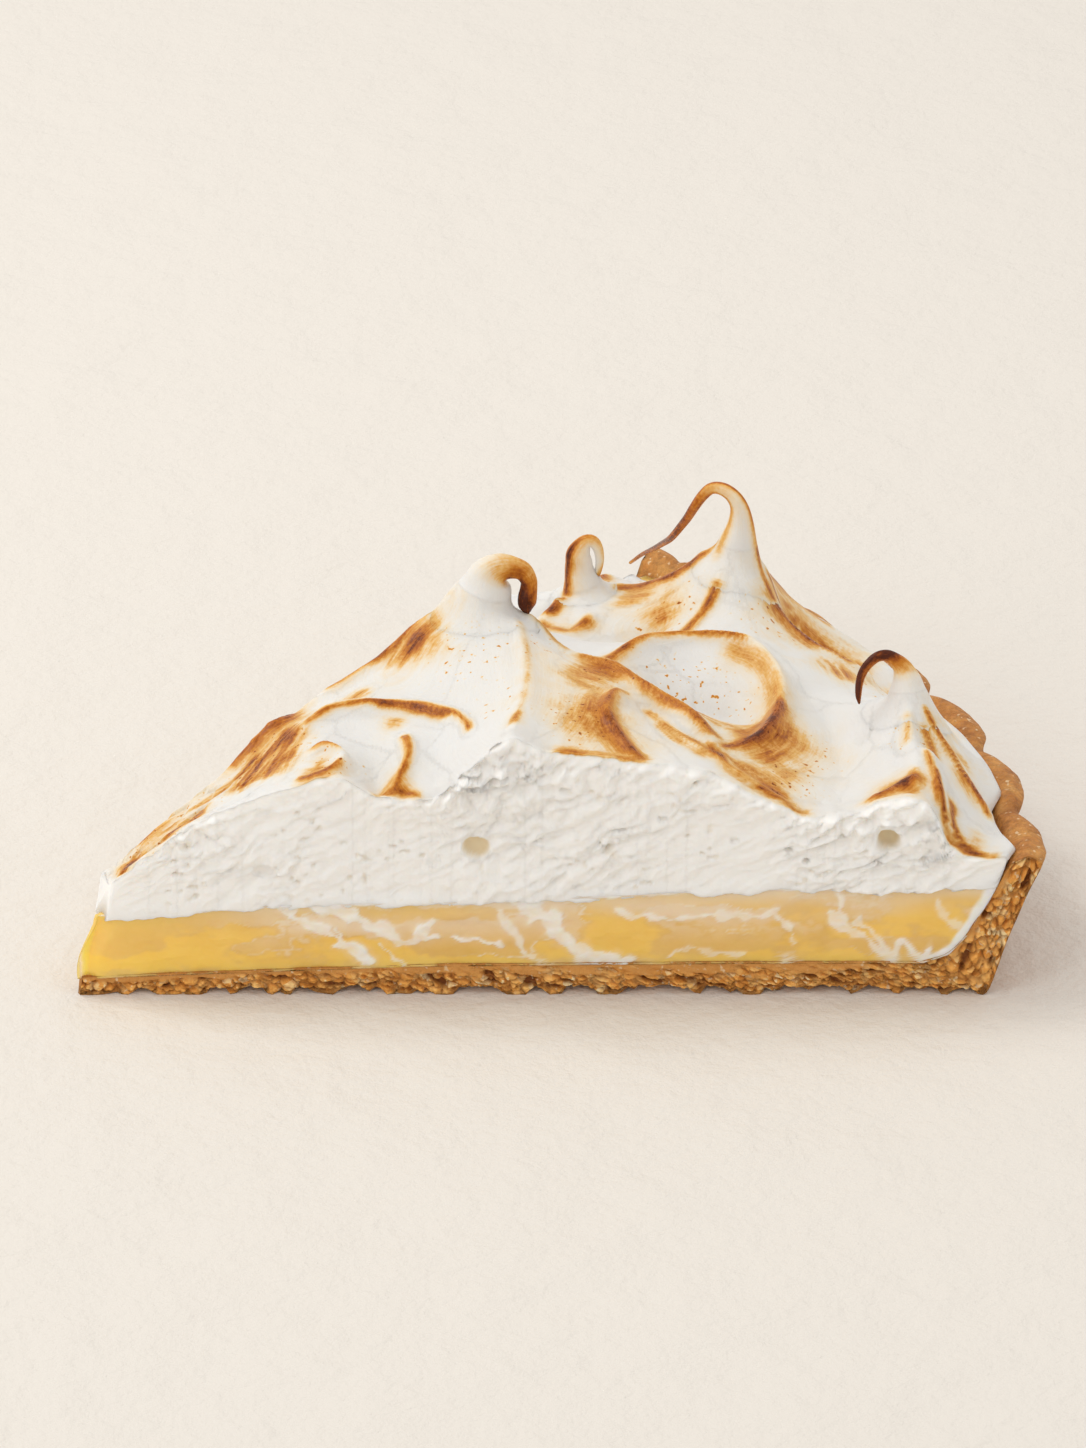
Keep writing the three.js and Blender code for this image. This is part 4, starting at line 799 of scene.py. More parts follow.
def buildMeringue():
    # the skin, a torn face at each cut between the seam and the skin's edge, and the narrow wall at the rim
    sheets = Sheets()
    top = topGrid()
    amount, grain = browning(top)
    at = sheets.grid(top, toast=amount, grain=grain, torn=np.zeros(amount.shape), specks=speckShare(top))
    fine = cutColumns(meringue["radial"])[:, None]
    edges = []
    for side in (0, 1):
        angle = side * wedge["turn"]
        up = np.linspace(0, 1, meringue["cutRows"][side] + 1)[None]
        upper = top[:, -1 if side else 0]
        reach = np.hypot(upper[:, 0], upper[:, 1])
        coarse = np.linspace(0, 1, meringue["radial"] + 1)
        topRadius = np.interp(fine, coarse, reach)
        topZ = np.interp(fine, coarse, upper[:, 2])
        lowRadius = meringue["tipAtSeam"] + (meringue["seamEdge"] - meringue["tipAtSeam"]) * fine
        spot = np.concatenate([lowRadius / 2.6, fine * 0 + 3 * side, fine * 0], -1)
        lowZ = settle(seamHeight(lowRadius), angle) - 0.75 + 0.6 * layeredNoise(spot, 1.0, 61, 3)[:, None]
        bow = up ** 0.9
        radius = lowRadius + (topRadius - lowRadius) * bow
        height = lowZ + (topZ - 0.02 - lowZ) * up
        edge = (1 - up) * 14 + 0.3 + 0.7 * np.exp(-((topRadius - 48) / 7) ** 2)
        edge = np.minimum(edge, np.minimum(fine, 1 - fine) * 40)
        tuck = 0.5 * ease(0.35, 0.0, height - lowZ)
        relief, pit = tornRelief(radius, height, side)
        low = ease(2.4, 0.8, height - lowZ)
        relief = relief + low * (np.maximum(relief, 0.06) - relief)
        relief = relief * np.clip(edge, 0, 1)
        out = farSide if side else nearSide
        face = polar(radius, angle, height) + out * (relief + 0.05 * low - 0.08 - tuck)[..., None]
        skinLine = np.clip(1 - (topZ - height) / 0.45, 0, 1)
        brown, flow = browning(polar(radius, angle, topZ + 0 * up))
        edgeToast = brown * skinLine ** 2
        fineAt = sheets.grid(face, flip=bool(side), toast=edgeToast, grain=flow, torn=1 - skinLine, pit=pit)
        sheets.face(zipFaces(fineAt[:, -1], at[:, -1 if side else 0], flip=not side))
        edges.append(fineAt)
    angles = np.linspace(0, wedge["turn"], meringue["around"] + 1)
    wall = np.linspace(0, 1, meringue["outerRows"] + 1)[None]
    seamEdge = meringue["seamEdge"]
    lowArc = polar(seamEdge, angles, settle(seamHeight(seamEdge), angles))[:, None]
    highArc = top[-1][:, None]
    outer = lowArc + (highArc - lowArc) * wall[..., None]
    flat = np.zeros(outer.shape[:2])
    outerAt = sheets.grid(outer, toast=flat, grain=np.zeros(outer.shape), torn=flat + 1)
    closeEnds(sheets, edges, at, outerAt)
    return addMesh("meringue_top", sheets)


def closeEnds(sheets, edges, at, outerAt):
    # the blunt tip, the two upright ends at the rim and the underside, each closed round a middle point
    near, far = edges
    allPoints = np.vstack(sheets.points)
    tipRing = np.r_[near[0], at[0], far[0, ::-1]]
    nearEnd = np.r_[near[-1, ::-1], outerAt[0]]
    farEnd = np.r_[outerAt[-1, ::-1], far[-1]]
    under = np.r_[near[:, 0], outerAt[:, 0], far[::-1, 0]]
    for ring, flip in ((tipRing, False), (nearEnd, True), (farEnd, True), (under, False)):
        loop = np.r_[ring, ring[0]]
        middle = sheets.add(allPoints[ring].mean(0)[None], toast=[0.0], grain=np.zeros((1, 3)), torn=[1.0])[0]
        sheets.face(fanFaces(loop, middle, flip=flip))


def buildPeak(name, peak, sheets):
    # each line of the foot leaves the skin along the skin's own slope and turns up into the tube (cubic
    # with both slopes
    # given); the tube's rings taper along the path, a little flattened
    path = smoothLine(peak["path"], 0.3)
    centre, thick = path[:, :3], path[:, 3]
    tangent = np.gradient(centre, axis=0)
    tangent /= np.linalg.norm(tangent, axis=1)[:, None]
    facing = np.array(peak["facing"], float)
    side = facing - (tangent @ facing)[:, None] * tangent
    side /= np.linalg.norm(side, axis=1)[:, None]
    up = np.cross(tangent, side)
    turn = np.linspace(0, 2 * np.pi, 49)[None]
    along = np.linspace(0, 1, len(path))[:, None]
    flat = 1 - (1 - peak["flat"]) * ease(0, 0.25, along)
    place = np.stack(np.broadcast_arrays(along * 9, np.cos(turn), np.sin(turn)), -1)
    wave = 1 + 0.05 * softNoise(place, 1.0, 83)
    tube = centre[:, None] + (thick[:, None] * wave)[..., None] * (
        (flat * np.cos(turn))[..., None] * side[:, None] + np.sin(turn)[..., None] * up[:, None])

    inward = centre[0, :2] - tube[0, :, :2]
    inward = inward / np.linalg.norm(inward, axis=-1)[:, None]
    edge = centre[0, :2] - inward * peak["foot"]
    ground = skinHeight(edge[:, 0], edge[:, 1])
    nearer = edge + inward * peakFoot["probe"]
    slope = (skinHeight(nearer[:, 0], nearer[:, 1]) - ground) / peakFoot["probe"]
    start = np.column_stack([edge, ground])
    gap = np.linalg.norm(tube[0] - start, axis=1)[:, None]
    leave = np.column_stack([inward, slope]) * gap * peakFoot["leave"]
    arrive = tube[1] - tube[0]
    arrive = arrive / np.linalg.norm(arrive, axis=1)[:, None] * gap * peakFoot["arrive"]
    t = np.linspace(0, 1, peakFoot["rows"])[:, None, None]
    foot = ((2 * t ** 3 - 3 * t ** 2 + 1) * start + (t ** 3 - 2 * t ** 2 + t) * leave
            + (3 * t ** 2 - 2 * t ** 3) * tube[0] + (t ** 3 - t ** 2) * arrive)
    t = t[..., 0]
    hug = ease(peakFoot["hugTo"], 0.0, t)
    foot[..., 2] += hug * (skinHeight(foot[..., 0], foot[..., 1]) - foot[..., 2])
    ridges = drawnRidges(foot * [1, 1, 0]) * (1 - ease(0.3, 1.0, t))
    foot[..., 2] += ridges + peakFoot["lift"] * (1 - 2 * ease(0.3, 0.0, t))

    brown, flow = browning(foot)
    tubeBrown = peakBrowning(name, along[1:], turn)
    lowBrown = peakBrowning(name, 0 * t, turn) * ease(0.35, 1.0, t)
    whole = np.concatenate([foot, tube[1:]], 0)
    amount = np.concatenate([np.maximum(brown, lowBrown), tubeBrown], 0)
    length = along[1:] * 20 + 0 * turn
    grain = np.concatenate([flow, np.stack([length, 3 * np.sin(turn) + 0 * length, 400 + 0 * length], -1)], 0)
    plain = np.zeros(amount.shape)
    dotted = np.concatenate([speckShare(foot) * (1 - t), plain[len(foot):]], 0)
    at = sheets.grid(whole, toast=amount, grain=grain, torn=plain, specks=dotted)
    last = (centre[-1] + tangent[-1] * thick[-1])[None]
    end = sheets.add(last, toast=[float(amount[-1].mean())], grain=np.zeros((1, 3)))[0]
    low = sheets.add((centre[0] - [0, 0, 9.0])[None])[0]
    sheets.face(fanFaces(at[-1], end))
    sheets.face(fanFaces(at[0], low))


# browning of each peak: (share of its length, amount), where round it the dark side is (radians) and how
# much darker,
# and bands along it (angle, width, strength, share of the length it ends at)
peakToast = dict(
    left=dict(along=[(0, 0.0), (0.14, 0.06), (0.28, 0.3), (0.42, 0.48), (0.6, 0.6), (0.85, 0.85), (1, 1.1)],
              dark=1.4, lean=0.35),
    tall=dict(along=[(0, 0.08), (0.2, 0.17), (0.4, 0.24), (0.55, 0.2), (0.75, 0.12), (0.92, 0.4), (1, 0.8)],
              dark=-1.6, lean=0.9, lines=[(-1.05, 0.3, 0.62, 0.42)]),
    sail=dict(along=[(0, 0.0), (0.05, 0.05), (0.14, 0.2), (0.22, 0.38), (0.32, 0.6), (0.5, 0.78),
                     (0.75, 0.74), (1, 0.62)], dark=1.6, lean=0.25,
              lines=[(1.5, 0.3, 0.42, 1.2), (-0.9, 0.28, 0.38, 1.2)]),
    right=dict(along=[(0, 0.02), (0.12, 0.08), (0.3, 0.5), (0.45, 0.9), (1, 1.15)], dark=1.6, lean=0.4),
)


def peakBrowning(name, along, turn):
    # amount by length, times (1 + lean * cos(angle from the dark side)), plus bands exp((cos - 1) /
    # width^2) round it
    facts = peakToast[name]
    base = readPairs(facts["along"], along)
    lean = 1 + facts["lean"] * np.cos(turn - facts["dark"])
    place = np.stack(np.broadcast_arrays(along * 8, np.cos(turn) * 1.2, np.sin(turn) * 1.2), -1)
    noise = 1 + 0.25 * softNoise(place, 1.0, 91)
    lines = 0.0
    for at, wide, strength, until in facts.get("lines", ()):
        band = strength * np.exp((np.cos(turn - at) - 1) / wide ** 2)
        lines = lines + band * ease(until + 0.15, until - 0.1, along)
    return base * lean * noise + lines * noise * (1 - base)


def buildPeaks():
    # all the curled peaks in one mesh
    sheets = Sheets()
    for name, peak in peaks.items():
        buildPeak(name, peak, sheets)
    return addMesh("meringue_peaks", sheets)


meringueTop = buildMeringue()
meringuePeaks = buildPeaks()


# lemon curd

curd = dict(
    columns=112, ratio=5, rows=44, around=40, bevelTo=3.4, bevelLimit=0.36, behindCut=0.10, tuckedUnder=1.3,
    mirror=116,      # the far cut has the near one's smears the other way round
    # radius of the drawn tip, by level
    tipRound=[(0, 0.42), (0.1, 0.34), (0.25, 0.42), (0.4, 0.75), (0.55, 1.35), (0.7, 2.1), (0.85, 2.75),
              (1, 3.1)], overlap=0.3, underMeringue=0.8,
    # white smears dragged over the near cut: half-width, strength, path of [x, height]
    smears=[
        dict(width=0.45, strength=1.0, path=[(26.6, 12.2), (28.2, 9.7), (31, 8.4), (36.2, 4.6)]),
        dict(width=0.3, strength=0.9, path=[(31.8, 9), (33, 7.4), (34.8, 5.4)]),
        dict(width=0.28, strength=0.8, path=[(37.4, 7.2), (39.4, 5.6), (41, 4.2)]),
        dict(width=1.1, strength=1.0, path=[(29.6, 12.9), (33.4, 11.6), (36.6, 9.9), (39.4, 8.4)]),
        dict(width=0.7, strength=1.0, path=[(36.5, 9.6), (39.2, 8.0), (41.6, 7.9), (44.2, 10.6)]),
        dict(width=0.22, strength=0.9, path=[(41.6, 7.6), (48.6, 7.7), (53.0, 7.0)]),
        dict(width=0.55, strength=0.8, path=[(52.6, 12.4), (53.2, 10.2), (55.4, 7.2), (56.8, 5.6)]),
        dict(width=1.0, strength=1.0, path=[(54.6, 13.2), (57.6, 11.4), (60.4, 9.4), (61.8, 6.8)]),
        dict(width=0.8, strength=1.0, path=[(58.6, 10.2), (61.2, 7.6), (64.8, 5.8), (68.2, 4.6)]),
        dict(width=0.8, strength=0.9, path=[(61.5, 6.6), (63.5, 5.4), (66.6, 4.8), (69.0, 5.0)]),
        dict(width=0.35, strength=0.8,
             path=[(67.3, 11.7), (72.4, 10.8), (75.8, 10.7), (80, 11.1), (86.3, 11.6)]),
        dict(width=0.3, strength=0.6, path=[(73.6, 5.2), (75.8, 6.4), (79.2, 6.0), (83, 5.4)]),
        dict(width=0.3, strength=0.8, path=[(93.4, 15.2), (94.7, 13.4), (94.2, 11.2), (96.4, 8.6)]),
        dict(width=0.55, strength=0.9, path=[(92.6, 11.4), (95.6, 9.6), (98, 7.6), (100.2, 5.8)]),
        dict(width=0.4, strength=0.8, path=[(96.6, 10.8), (99.0, 8.6), (100.6, 6.4)]),
        dict(width=0.3, strength=0.7, path=[(86.4, 11.4), (88.4, 9.2), (89.4, 7.4)]),
        dict(width=0.7, strength=1.0,
             path=[(101.2, 5.4), (102.4, 7.8), (104.4, 5.8), (106.6, 5.4), (108.4, 6.6)]),
        dict(width=0.35, strength=0.6, path=[(106.4, 12.8), (107.6, 10.6), (109.6, 9.6)]),
    ],
)
crust = dict(
    ratio=4, across=30, rimRows=14, baseSteps=150, wallSteps=24, roundSteps=150, outerCorner=4, innerCorner=5,
    flutes=42, firstNotch=math.radians(6.8), fluteAtRim=2.4, fluteAtBase=1.2, flutePower=2.4, valley=0.7,
    lumps=0.22,
    # the first value below is the strength of the painted shade along the flutes' notches
    notchShade=0.7, chipReach=3.0, chipIn=1.3, chipUp=0.7, behindCut=0.12, mostOut=0.42, mostIn=-1.4,
    outside=[(0.6, 0), (28, 0), (56, 0), (84, 0), (112.4, 0), (113.3, 0.6), (114.4, 3.7), (115.5, 7.3),
             (116.9, 11), (118.2, 14.4), (119.5, 17.2), (119.85, 18.2)],
    inside=[(1.0, 2.45), (6, 2.8), (25, 3.6), (43, 4.3), (82, 4.7), (104.6, 4.75), (107.7, 5.8),
            (109.9, 8.2), (110.9, 10), (112.4, 12.3), (114, 15.6), (115.3, 18.1)],
)


def wallRadius(height):
    # radius of the wall's inside at a height
    wall = crust["inside"][crust["innerCorner"]:]
    return np.interp(height, [p[1] for p in wall], [p[0] for p in wall])


def floorHeight(radius):
    # height of the base's upper side at a radius
    return readPairs(crust["inside"][:crust["innerCorner"] + 1], radius)


def curdFacts(x, z, side):
    # the cut face of the curd: how white it is smeared, how orange, how pale, and how far it stands out
    low, high = floorHeight(x), seamHeight(x)
    share = np.clip((z - low) / (high - low), 0, 1)
    place = np.stack([x, z, 0 * x + 40 * side], -1)
    warp = np.stack([softNoise(place, (1.6, 1.1, 1), 141), softNoise(place, (1.6, 1.1, 1), 142)], -1) * 0.45
    warp = warp + np.stack([softNoise(place, (5, 3, 1), 143), softNoise(place, (5, 3, 1), 144)], -1) * 0.55
    warp = warp + np.stack([softNoise(place, 0.7, 145), softNoise(place, 0.7, 146)], -1) * 0.16
    flat = (np.stack([x, z], -1) + warp).reshape(-1, 2)
    white = np.zeros(len(flat))
    for smear in curd["smears"]:
        path = np.array(smear["path"], float)
        if side:
            path[:, 0] = curd["mirror"] - path[:, 0]
        line = smoothLine(np.column_stack([path, 0 * path[:, 0]]), 0.3)[:, :2]
        away, along, _ = nearestOn(line, flat)
        spot = np.stack([along / 1.4, along * 0 + smear["width"] * 31, 0 * along], -1)
        away = away / (1.15 * smear["width"] * (1 + 0.7 * softNoise(spot, 1.0, 151)))
        streak = 0.72 * ease(1.15, 0.8, away) + 0.28 * ease(2.2, 0.6, away)
        white = np.maximum(white, smear["strength"] * streak)
    white = white.reshape(x.shape)
    wall = wallRadius(z) - x
    lining = wall + 1.1 * layeredNoise(place, (2.0, 2.0, 1), 153, 2) - 0.7 * ease(11, 5.5, z)
    lining = ease(1.3, 0.5, lining) * ease(0.3, 1.2, z - 4.4)
    torn = layeredNoise(place, (1.7, 0.9, 1), 157, 3)
    seam = ease(0.45, 0.0, (high - z) + 0.35 * torn)
    white = np.clip(np.maximum.reduce([white * (0.8 + 0.35 * torn), lining, seam * 0.9]), 0, 1)
    pale = ease(0.5, 0.95, share + 0.22 * layeredNoise(place, (9, 2.4, 1), 161, 2))
    pale = pale * (0.55 + 0.45 * softNoise(place, (14, 3, 1), 163))
    pale = np.clip(pale, 0, 1) * ease(16, 30, x)
    # deeper orange towards the tip: partly the curd's own colour, partly painted glow of light through the
    # curd
    orange = ease(26, 2, x) * 0.75 * (0.6 + 0.4 * softNoise(place, (6, 2.5, 1), 165))
    warped = flat.reshape(*x.shape, 2)
    folded = np.stack([warped[..., 0] / 7.5, warped[..., 1] / 2.3, 0 * x + 3 + side], -1)
    folded = softNoise(folded, 1.0, 173)
    folded = folded + 0.35 * torn
    film = np.exp(-(folded / 0.07) ** 2) * ease(-0.3, 0.5, softNoise(place, (9, 4, 1), 175)) * ease(14, 24, x)
    white = np.clip(np.maximum(white, 0.5 * film), 0, 1)
    pale = np.clip(pale + 0.55 * ease(0.02, 0.22, folded) * ease(0.2, 0.6, share) * ease(10, 30, x), 0, 1)
    orange = orange + 0.45 * ease(0.05, -0.4, folded) * ease(1.0, 0.5, share)
    out = 0.22 * softNoise(place, (6, 3, 1), 167) + 0.11 * layeredNoise(place, (2.0, 1.1, 1), 169, 3)
    out = out + 0.16 * white + 0.12 * white * torn
    return white, np.clip(orange, 0, 1), pale, out


def sweepAngles(count):
    # angles from one cut to the other, closer together at both
    return wedge["turn"] * (1 - np.cos(np.pi * np.linspace(0, 1, count + 1))) / 2


def curdPlace(share, level):
    # share of the way from tip to wall and level from floor to seam, as radius and height
    tip = readPairs(curd["tipRound"], level)
    low, high = floorHeight(104.0), seamHeight(112.0)
    wall = wallRadius(low + (high - low) * level) + curd["overlap"]
    radius = tip + (wall - tip) * share
    low = floorHeight(radius) - curd["overlap"]
    high = seamHeight(radius) + curd["underMeringue"] * ease(3.5, 8.0, radius) - 0.25 * ease(8.0, 3.5, radius)
    return radius, low + (high - low) * level


def tipBevel(beyond):
    # how far the cut faces draw back towards the blunt tip: (1 - ease)^1.5 of the distance beyond it
    return (1 - ease(0.0, curd["bevelTo"], beyond)) ** 1.5


def buildCurd():
    # two fine cut faces and, between them, the section's outline carried round from one cut to the other
    sheets = Sheets()
    coarse = np.linspace(0, 1, curd["columns"] + 1)
    level = np.linspace(0, 1, curd["rows"] + 1)
    fine = np.linspace(0, 1, curd["columns"] * curd["ratio"] + 1)[:, None]
    one = np.ones(len(level) - 2)
    ringShare = np.r_[coarse, one, coarse[::-1], 0 * one, 0]
    ringLevel = np.r_[0 * coarse, level[1:-1], 0 * coarse + 1, level[-2:0:-1], 0]
    angles = sweepAngles(curd["around"])
    radius, height = curdPlace(ringShare, ringLevel)
    hoop = polar(radius[:, None], angles[None], settle(height[:, None], angles[None]))
    tip = readPairs(curd["tipRound"], ringLevel)
    # kept this far behind both cuts: the bevel at the tip, and more under the meringue
    inset = tipBevel(radius - tip) + 1.4 * ease(0.93, 1.0, ringLevel)
    inset = np.minimum(inset, curd["bevelLimit"] * radius)[:, None]
    for out in (nearSide, farSide):
        hoop = hoop - out * np.maximum(inset + hoop @ out, 0)[..., None]
    plain = np.zeros(hoop.shape[:2])
    # the rounded tip gets the same orange: the curd's own colour with painted glow
    at = sheets.grid(hoop, smear=plain, orange=plain + 0.3 * (radius[:, None] < 8), pale=plain)
    n, m = len(coarse), len(level)
    for side in (0, 1):
        angle = side * wedge["turn"]
        out = farSide if side else nearSide
        radius, height = curdPlace(fine, level[None])
        white, orange, pale, relief = curdFacts(radius, height, side)
        fade = np.clip(np.minimum(fine, 1 - fine) * 90, 0, 1)
        hidden = ease(seamHeight(radius) - 0.15, seamHeight(radius) + 0.6, height)
        beyond = radius - readPairs(curd["tipRound"], level)[None]
        bevel = np.minimum(tipBevel(beyond), curd["bevelLimit"] * radius)
        stand = fade * relief - curd["behindCut"] - curd["tuckedUnder"] * hidden - bevel
        face = polar(radius, angle, settle(height, angle)) + out * stand[..., None]
        cut = sheets.grid(face, smear=white, orange=orange, pale=pale)
        column = at[:-1, -1 if side else 0]
        sheets.face(zipFaces(cut[:, 0], column[:n]))
        sheets.face(zipFaces(cut[-1], column[n - 1:n + m - 1]))
        sheets.face(zipFaces(cut[::-1, -1], column[n + m - 2:2 * n + m - 2]))
        sheets.face(zipFaces(cut[0, ::-1], np.r_[column[2 * n + m - 3:], column[0]]))
    return addMesh("lemon_curd", sheets)


# pastry

def fluteInset(angle, height):
    # depth at that height times |how far from the middle of the flute| raised to flutePower
    pitch = 2 * math.pi / crust["flutes"]
    turn = (angle - crust["firstNotch"]) / pitch
    across = 2 * (turn - np.floor(turn)) - 1
    base, rim = crust["fluteAtBase"], crust["fluteAtRim"]
    depth = base + (rim - base) * np.clip(height / wedge["rim"], 0, 1)
    return depth * np.abs(across) ** crust["flutePower"]


def sectionLines():
    # outside and inside of the pastry as two lines with matching steps: along the base first, then up the
    # wall
    outside = np.array(crust["outside"], float)
    inside = np.array(crust["inside"], float)

    def walk(points, corner):
        low, high = points[:corner + 1], points[corner:]
        a = np.linspace(0, 1, crust["baseSteps"] + 1)
        lowLength = np.r_[0, np.cumsum(np.hypot(*np.diff(low, axis=0).T))]
        floor = np.stack([np.interp(a * lowLength[-1], lowLength, low[:, k]) for k in range(2)], -1)
        rise = smoothLine(np.column_stack([high, 0 * high[:, 0]]), 0.1)[:, :2]
        length = np.r_[0, np.cumsum(np.hypot(*np.diff(rise, axis=0).T))]
        b = np.linspace(0, 1, crust["wallSteps"] + 1)[1:]
        top = np.stack([np.interp(b * length[-1], length, rise[:, k]) for k in range(2)], -1)
        return np.vstack([floor, top])

    return walk(outside, crust["outerCorner"]), walk(inside, crust["innerCorner"])


def crustPoint(section, angle):
    # a section point carried to the angle: pulled in at the flutes outside and over the rim, and settled
    radius, height, share = section[..., 0], section[..., 1], section[..., 2]
    sag = rimSag(angle) * ease(9.0, wedge["rim"], height)
    return polar(radius - share * fluteInset(angle, height), angle, settle(height, angle) - sag)


def crumbRelief(along, across, size, side):
    # crumbs as rounded grains of three sizes with painted shade in the gaps; a smoother strip near the
    # filling, holes near the base, painted shade in them too
    place = np.stack([along, across * size, 0 * along + 9 * side], -1)
    warp = np.stack([softNoise(place, 1.3, 181), softNoise(place, 1.3, 182), 0 * along], -1) * 0.35
    big, bigSecond, _ = grainNoise(place + warp, (1.5, 1.05, 1.0), 183)
    small, smallSecond, _ = grainNoise(place + warp * 0.5, (0.6, 0.5, 1.0), 187)
    wall = ease(96, 106, along)
    loose = ease(0.0, -0.30, across - 0.82 - 0.32 * wall + 0.20 * softNoise(place, (3.5, 1, 1), 191))
    holes = ease(0.22, 0.60, layeredNoise(place, (2.2, 1.1, 1.0), 193, 2)) * loose
    ragged = ease(0.16, 0.0, across + 0.08 * softNoise(place, (1.4, 1, 1), 195))
    gap = ease(0.30, 0.02, bigSecond - big)
    smallGap = ease(0.28, 0.02, smallSecond - small)
    out = 0.95 * (0.5 - big) * (0.12 + 0.88 * loose) + 0.42 * (0.5 - small) * (0.3 + 0.7 * loose)
    out = out - (0.45 * gap + 0.14 * smallGap) * loose - 1.2 * holes - 0.25 * ragged
    out = out + 0.12 * softNoise(place, 3.0, 197)
    # how much shade is painted in the holes and in the gaps between crumbs
    pore = np.clip(0.9 * holes + (0.5 * gap + 0.15 * smallGap) * loose ** 2, 0, 1)
    return out, pore, loose


def buildCrust():
    # the section's ring carried round through the angles, and a crumbly face at each cut, finer than the ring
    sheets = Sheets()
    outer, inner = sectionLines()
    step = np.linspace(0, 1, crust["rimRows"] + 1)[1:-1]
    start, end = outer[-1], inner[-1]
    bulge = np.array([-0.12, 1.0])      # the rim's crown leans in a little
    rimLine = start + (end - start) * step[:, None] + bulge * np.sin(np.pi * step ** 0.8)[:, None]
    outerPart = np.column_stack([outer, ease(112.0, 113.2, outer[:, 0])])
    rimPart = np.column_stack([rimLine, (1 - step) ** 0.8])
    innerPart = np.column_stack([inner, np.zeros(len(inner))])
    ring = np.vstack([outerPart, rimPart, innerPart[::-1], outerPart[:1]])
    angles = np.linspace(0, wedge["turn"], crust["roundSteps"] + 1)
    body = crustPoint(ring[:, None], angles[None])
    crown = np.r_[np.zeros(len(outer)), np.sin(np.pi * step), np.zeros(len(inner)), 0][:, None]
    valley = (fluteInset(angles, wedge["rim"]) / crust["fluteAtRim"]) ** 2
    body[..., 2] -= crust["valley"] * crown * valley[None]
    lumps = layeredNoise(body, (3.0, 3.0, 2.0), 201, 3)
    outerShown, innerShown = ease(113, 114, outer[:, 0]), ease(113.0, 114.5, inner[::-1, 0])
    shown = np.r_[outerShown, np.ones(len(step)), innerShown, 0][:, None]
    shown = shown * ease(0, 3, (angles * 118))[None] * ease(0, 3, ((wedge["turn"] - angles) * 118))[None]
    away = np.stack([np.cos(angles), np.sin(angles), 0 * angles], -1)[None]
    lift = np.array([0, 0, 1.0])
    rimShare = crown[..., None]
    body = body + (crust["lumps"] * lumps * shown)[..., None] * (away * (1 - rimShare) + lift * rimShare)
    zero = np.zeros(body.shape[:2])
    n, m = len(outer), len(rimPart)
    chips = []
    for side in (0, 1):
        # the lower edge is chipped: pushed in and up by chip, fading out at chipReach from the cut and
        # near the tip
        spots = np.column_stack([outer[:, 0], outer[:, 1], np.full(n, 20.0 * side)])
        chip = ease(-0.4, 0.4, layeredNoise(spots, (2.2, 2.2, 1), 211, 3))
        chip = chip * ease(112.0, 110.5, outer[:, 0]) * ease(3, 8, outer[:, 0])
        chips.append(chip)
        outward = farSide if side else nearSide
        fromCut = outer[:, :1] * np.sin(wedge["turn"] - angles if side else angles)
        fade = np.clip(1 - fromCut / crust["chipReach"], 0, 1)[..., None]
        tucked = (crust["chipIn"] * chip + 0.08 * ease(1, 4, outer[:, 0])) * ease(112.6, 111, outer[:, 0])
        body[:n] += fade * (-tucked[:, None, None] * outward + crust["chipUp"] * chip[:, None, None] * lift)
    # painted shade along the notches: its strength times (inset / depth)^4
    notch = (fluteInset(angles, wedge["rim"]) / crust["fluteAtRim"]) ** 4
    notchShadeAmount = crust["notchShade"] * ring[:, 2:] * notch[None]
    at = sheets.grid(body, flip=True, pore=notchShadeAmount, cutShare=zero, loose=zero)
    ratio = crust["ratio"]
    for side in (0, 1):
        angle = side * wedge["turn"]
        column = -1 if side else 0
        direction = farSide if side else nearSide
        place = np.linspace(0, n - 1, (n - 1) * ratio + 1)
        low = np.stack([np.interp(place, np.arange(n), outerPart[:, k]) for k in range(3)], -1)
        high = np.stack([np.interp(place, np.arange(n), innerPart[:, k]) for k in range(3)], -1)
        across = np.linspace(0.03, 0.97, crust["across"] + 1)
        flat = low[:, None] + (high - low)[:, None] * across[None, :, None]
        share = ease(n - 1 - 5, n - 1, place)[:, None] * np.sin(np.pi * across)[None]
        flat[..., :2] = flat[..., :2] + share[..., None] * bulge * 0.9
        flat[..., 2] = flat[..., 2] * (1 - across)[None] ** 0.8
        middle = ((low + high) / 2)[:, :2]
        along = np.r_[0, np.cumsum(np.hypot(*np.diff(middle, axis=0).T))][:, None] + 0 * across
        thick = np.linalg.norm((high - low)[:, :2], axis=1)[:, None]
        out, pore, loose = crumbRelief(along, across[None] + 0 * along, thick, side)
        chip = np.interp(place, np.arange(n), chips[side])[:, None] * (1 - across[None]) ** 5
        out = out - (0.08 + crust["chipIn"] * chip) * (1 - across[None]) ** 5 * ease(112.6, 111, low[:, :1])
        flat[..., 1] += crust["chipUp"] * chip
        out = np.clip(out, crust["mostIn"], crust["mostOut"]) - crust["behindCut"]
        points = crustPoint(flat, np.full(flat.shape[:2], angle)) + direction * out[..., None]
        face = sheets.grid(points, flip=not side, pore=pore, cutShare=np.ones(pore.shape), loose=loose)
        sheets.face(zipFaces(face[:, 0], at[:n, column], flip=bool(side)))
        sheets.face(zipFaces(face[:, -1], at[n + m:n + m + n, column][::-1], flip=not side))
        sheets.face(zipFaces(face[-1], at[n - 1:n + m + 1, column]))
        sheets.face(zipFaces(face[0], np.r_[at[0, column], at[n + m + n - 1, column]]))
    return addMesh("tart_crust", sheets)


lemonCurd = buildCurd()
tartCrust = buildCrust()


# materials

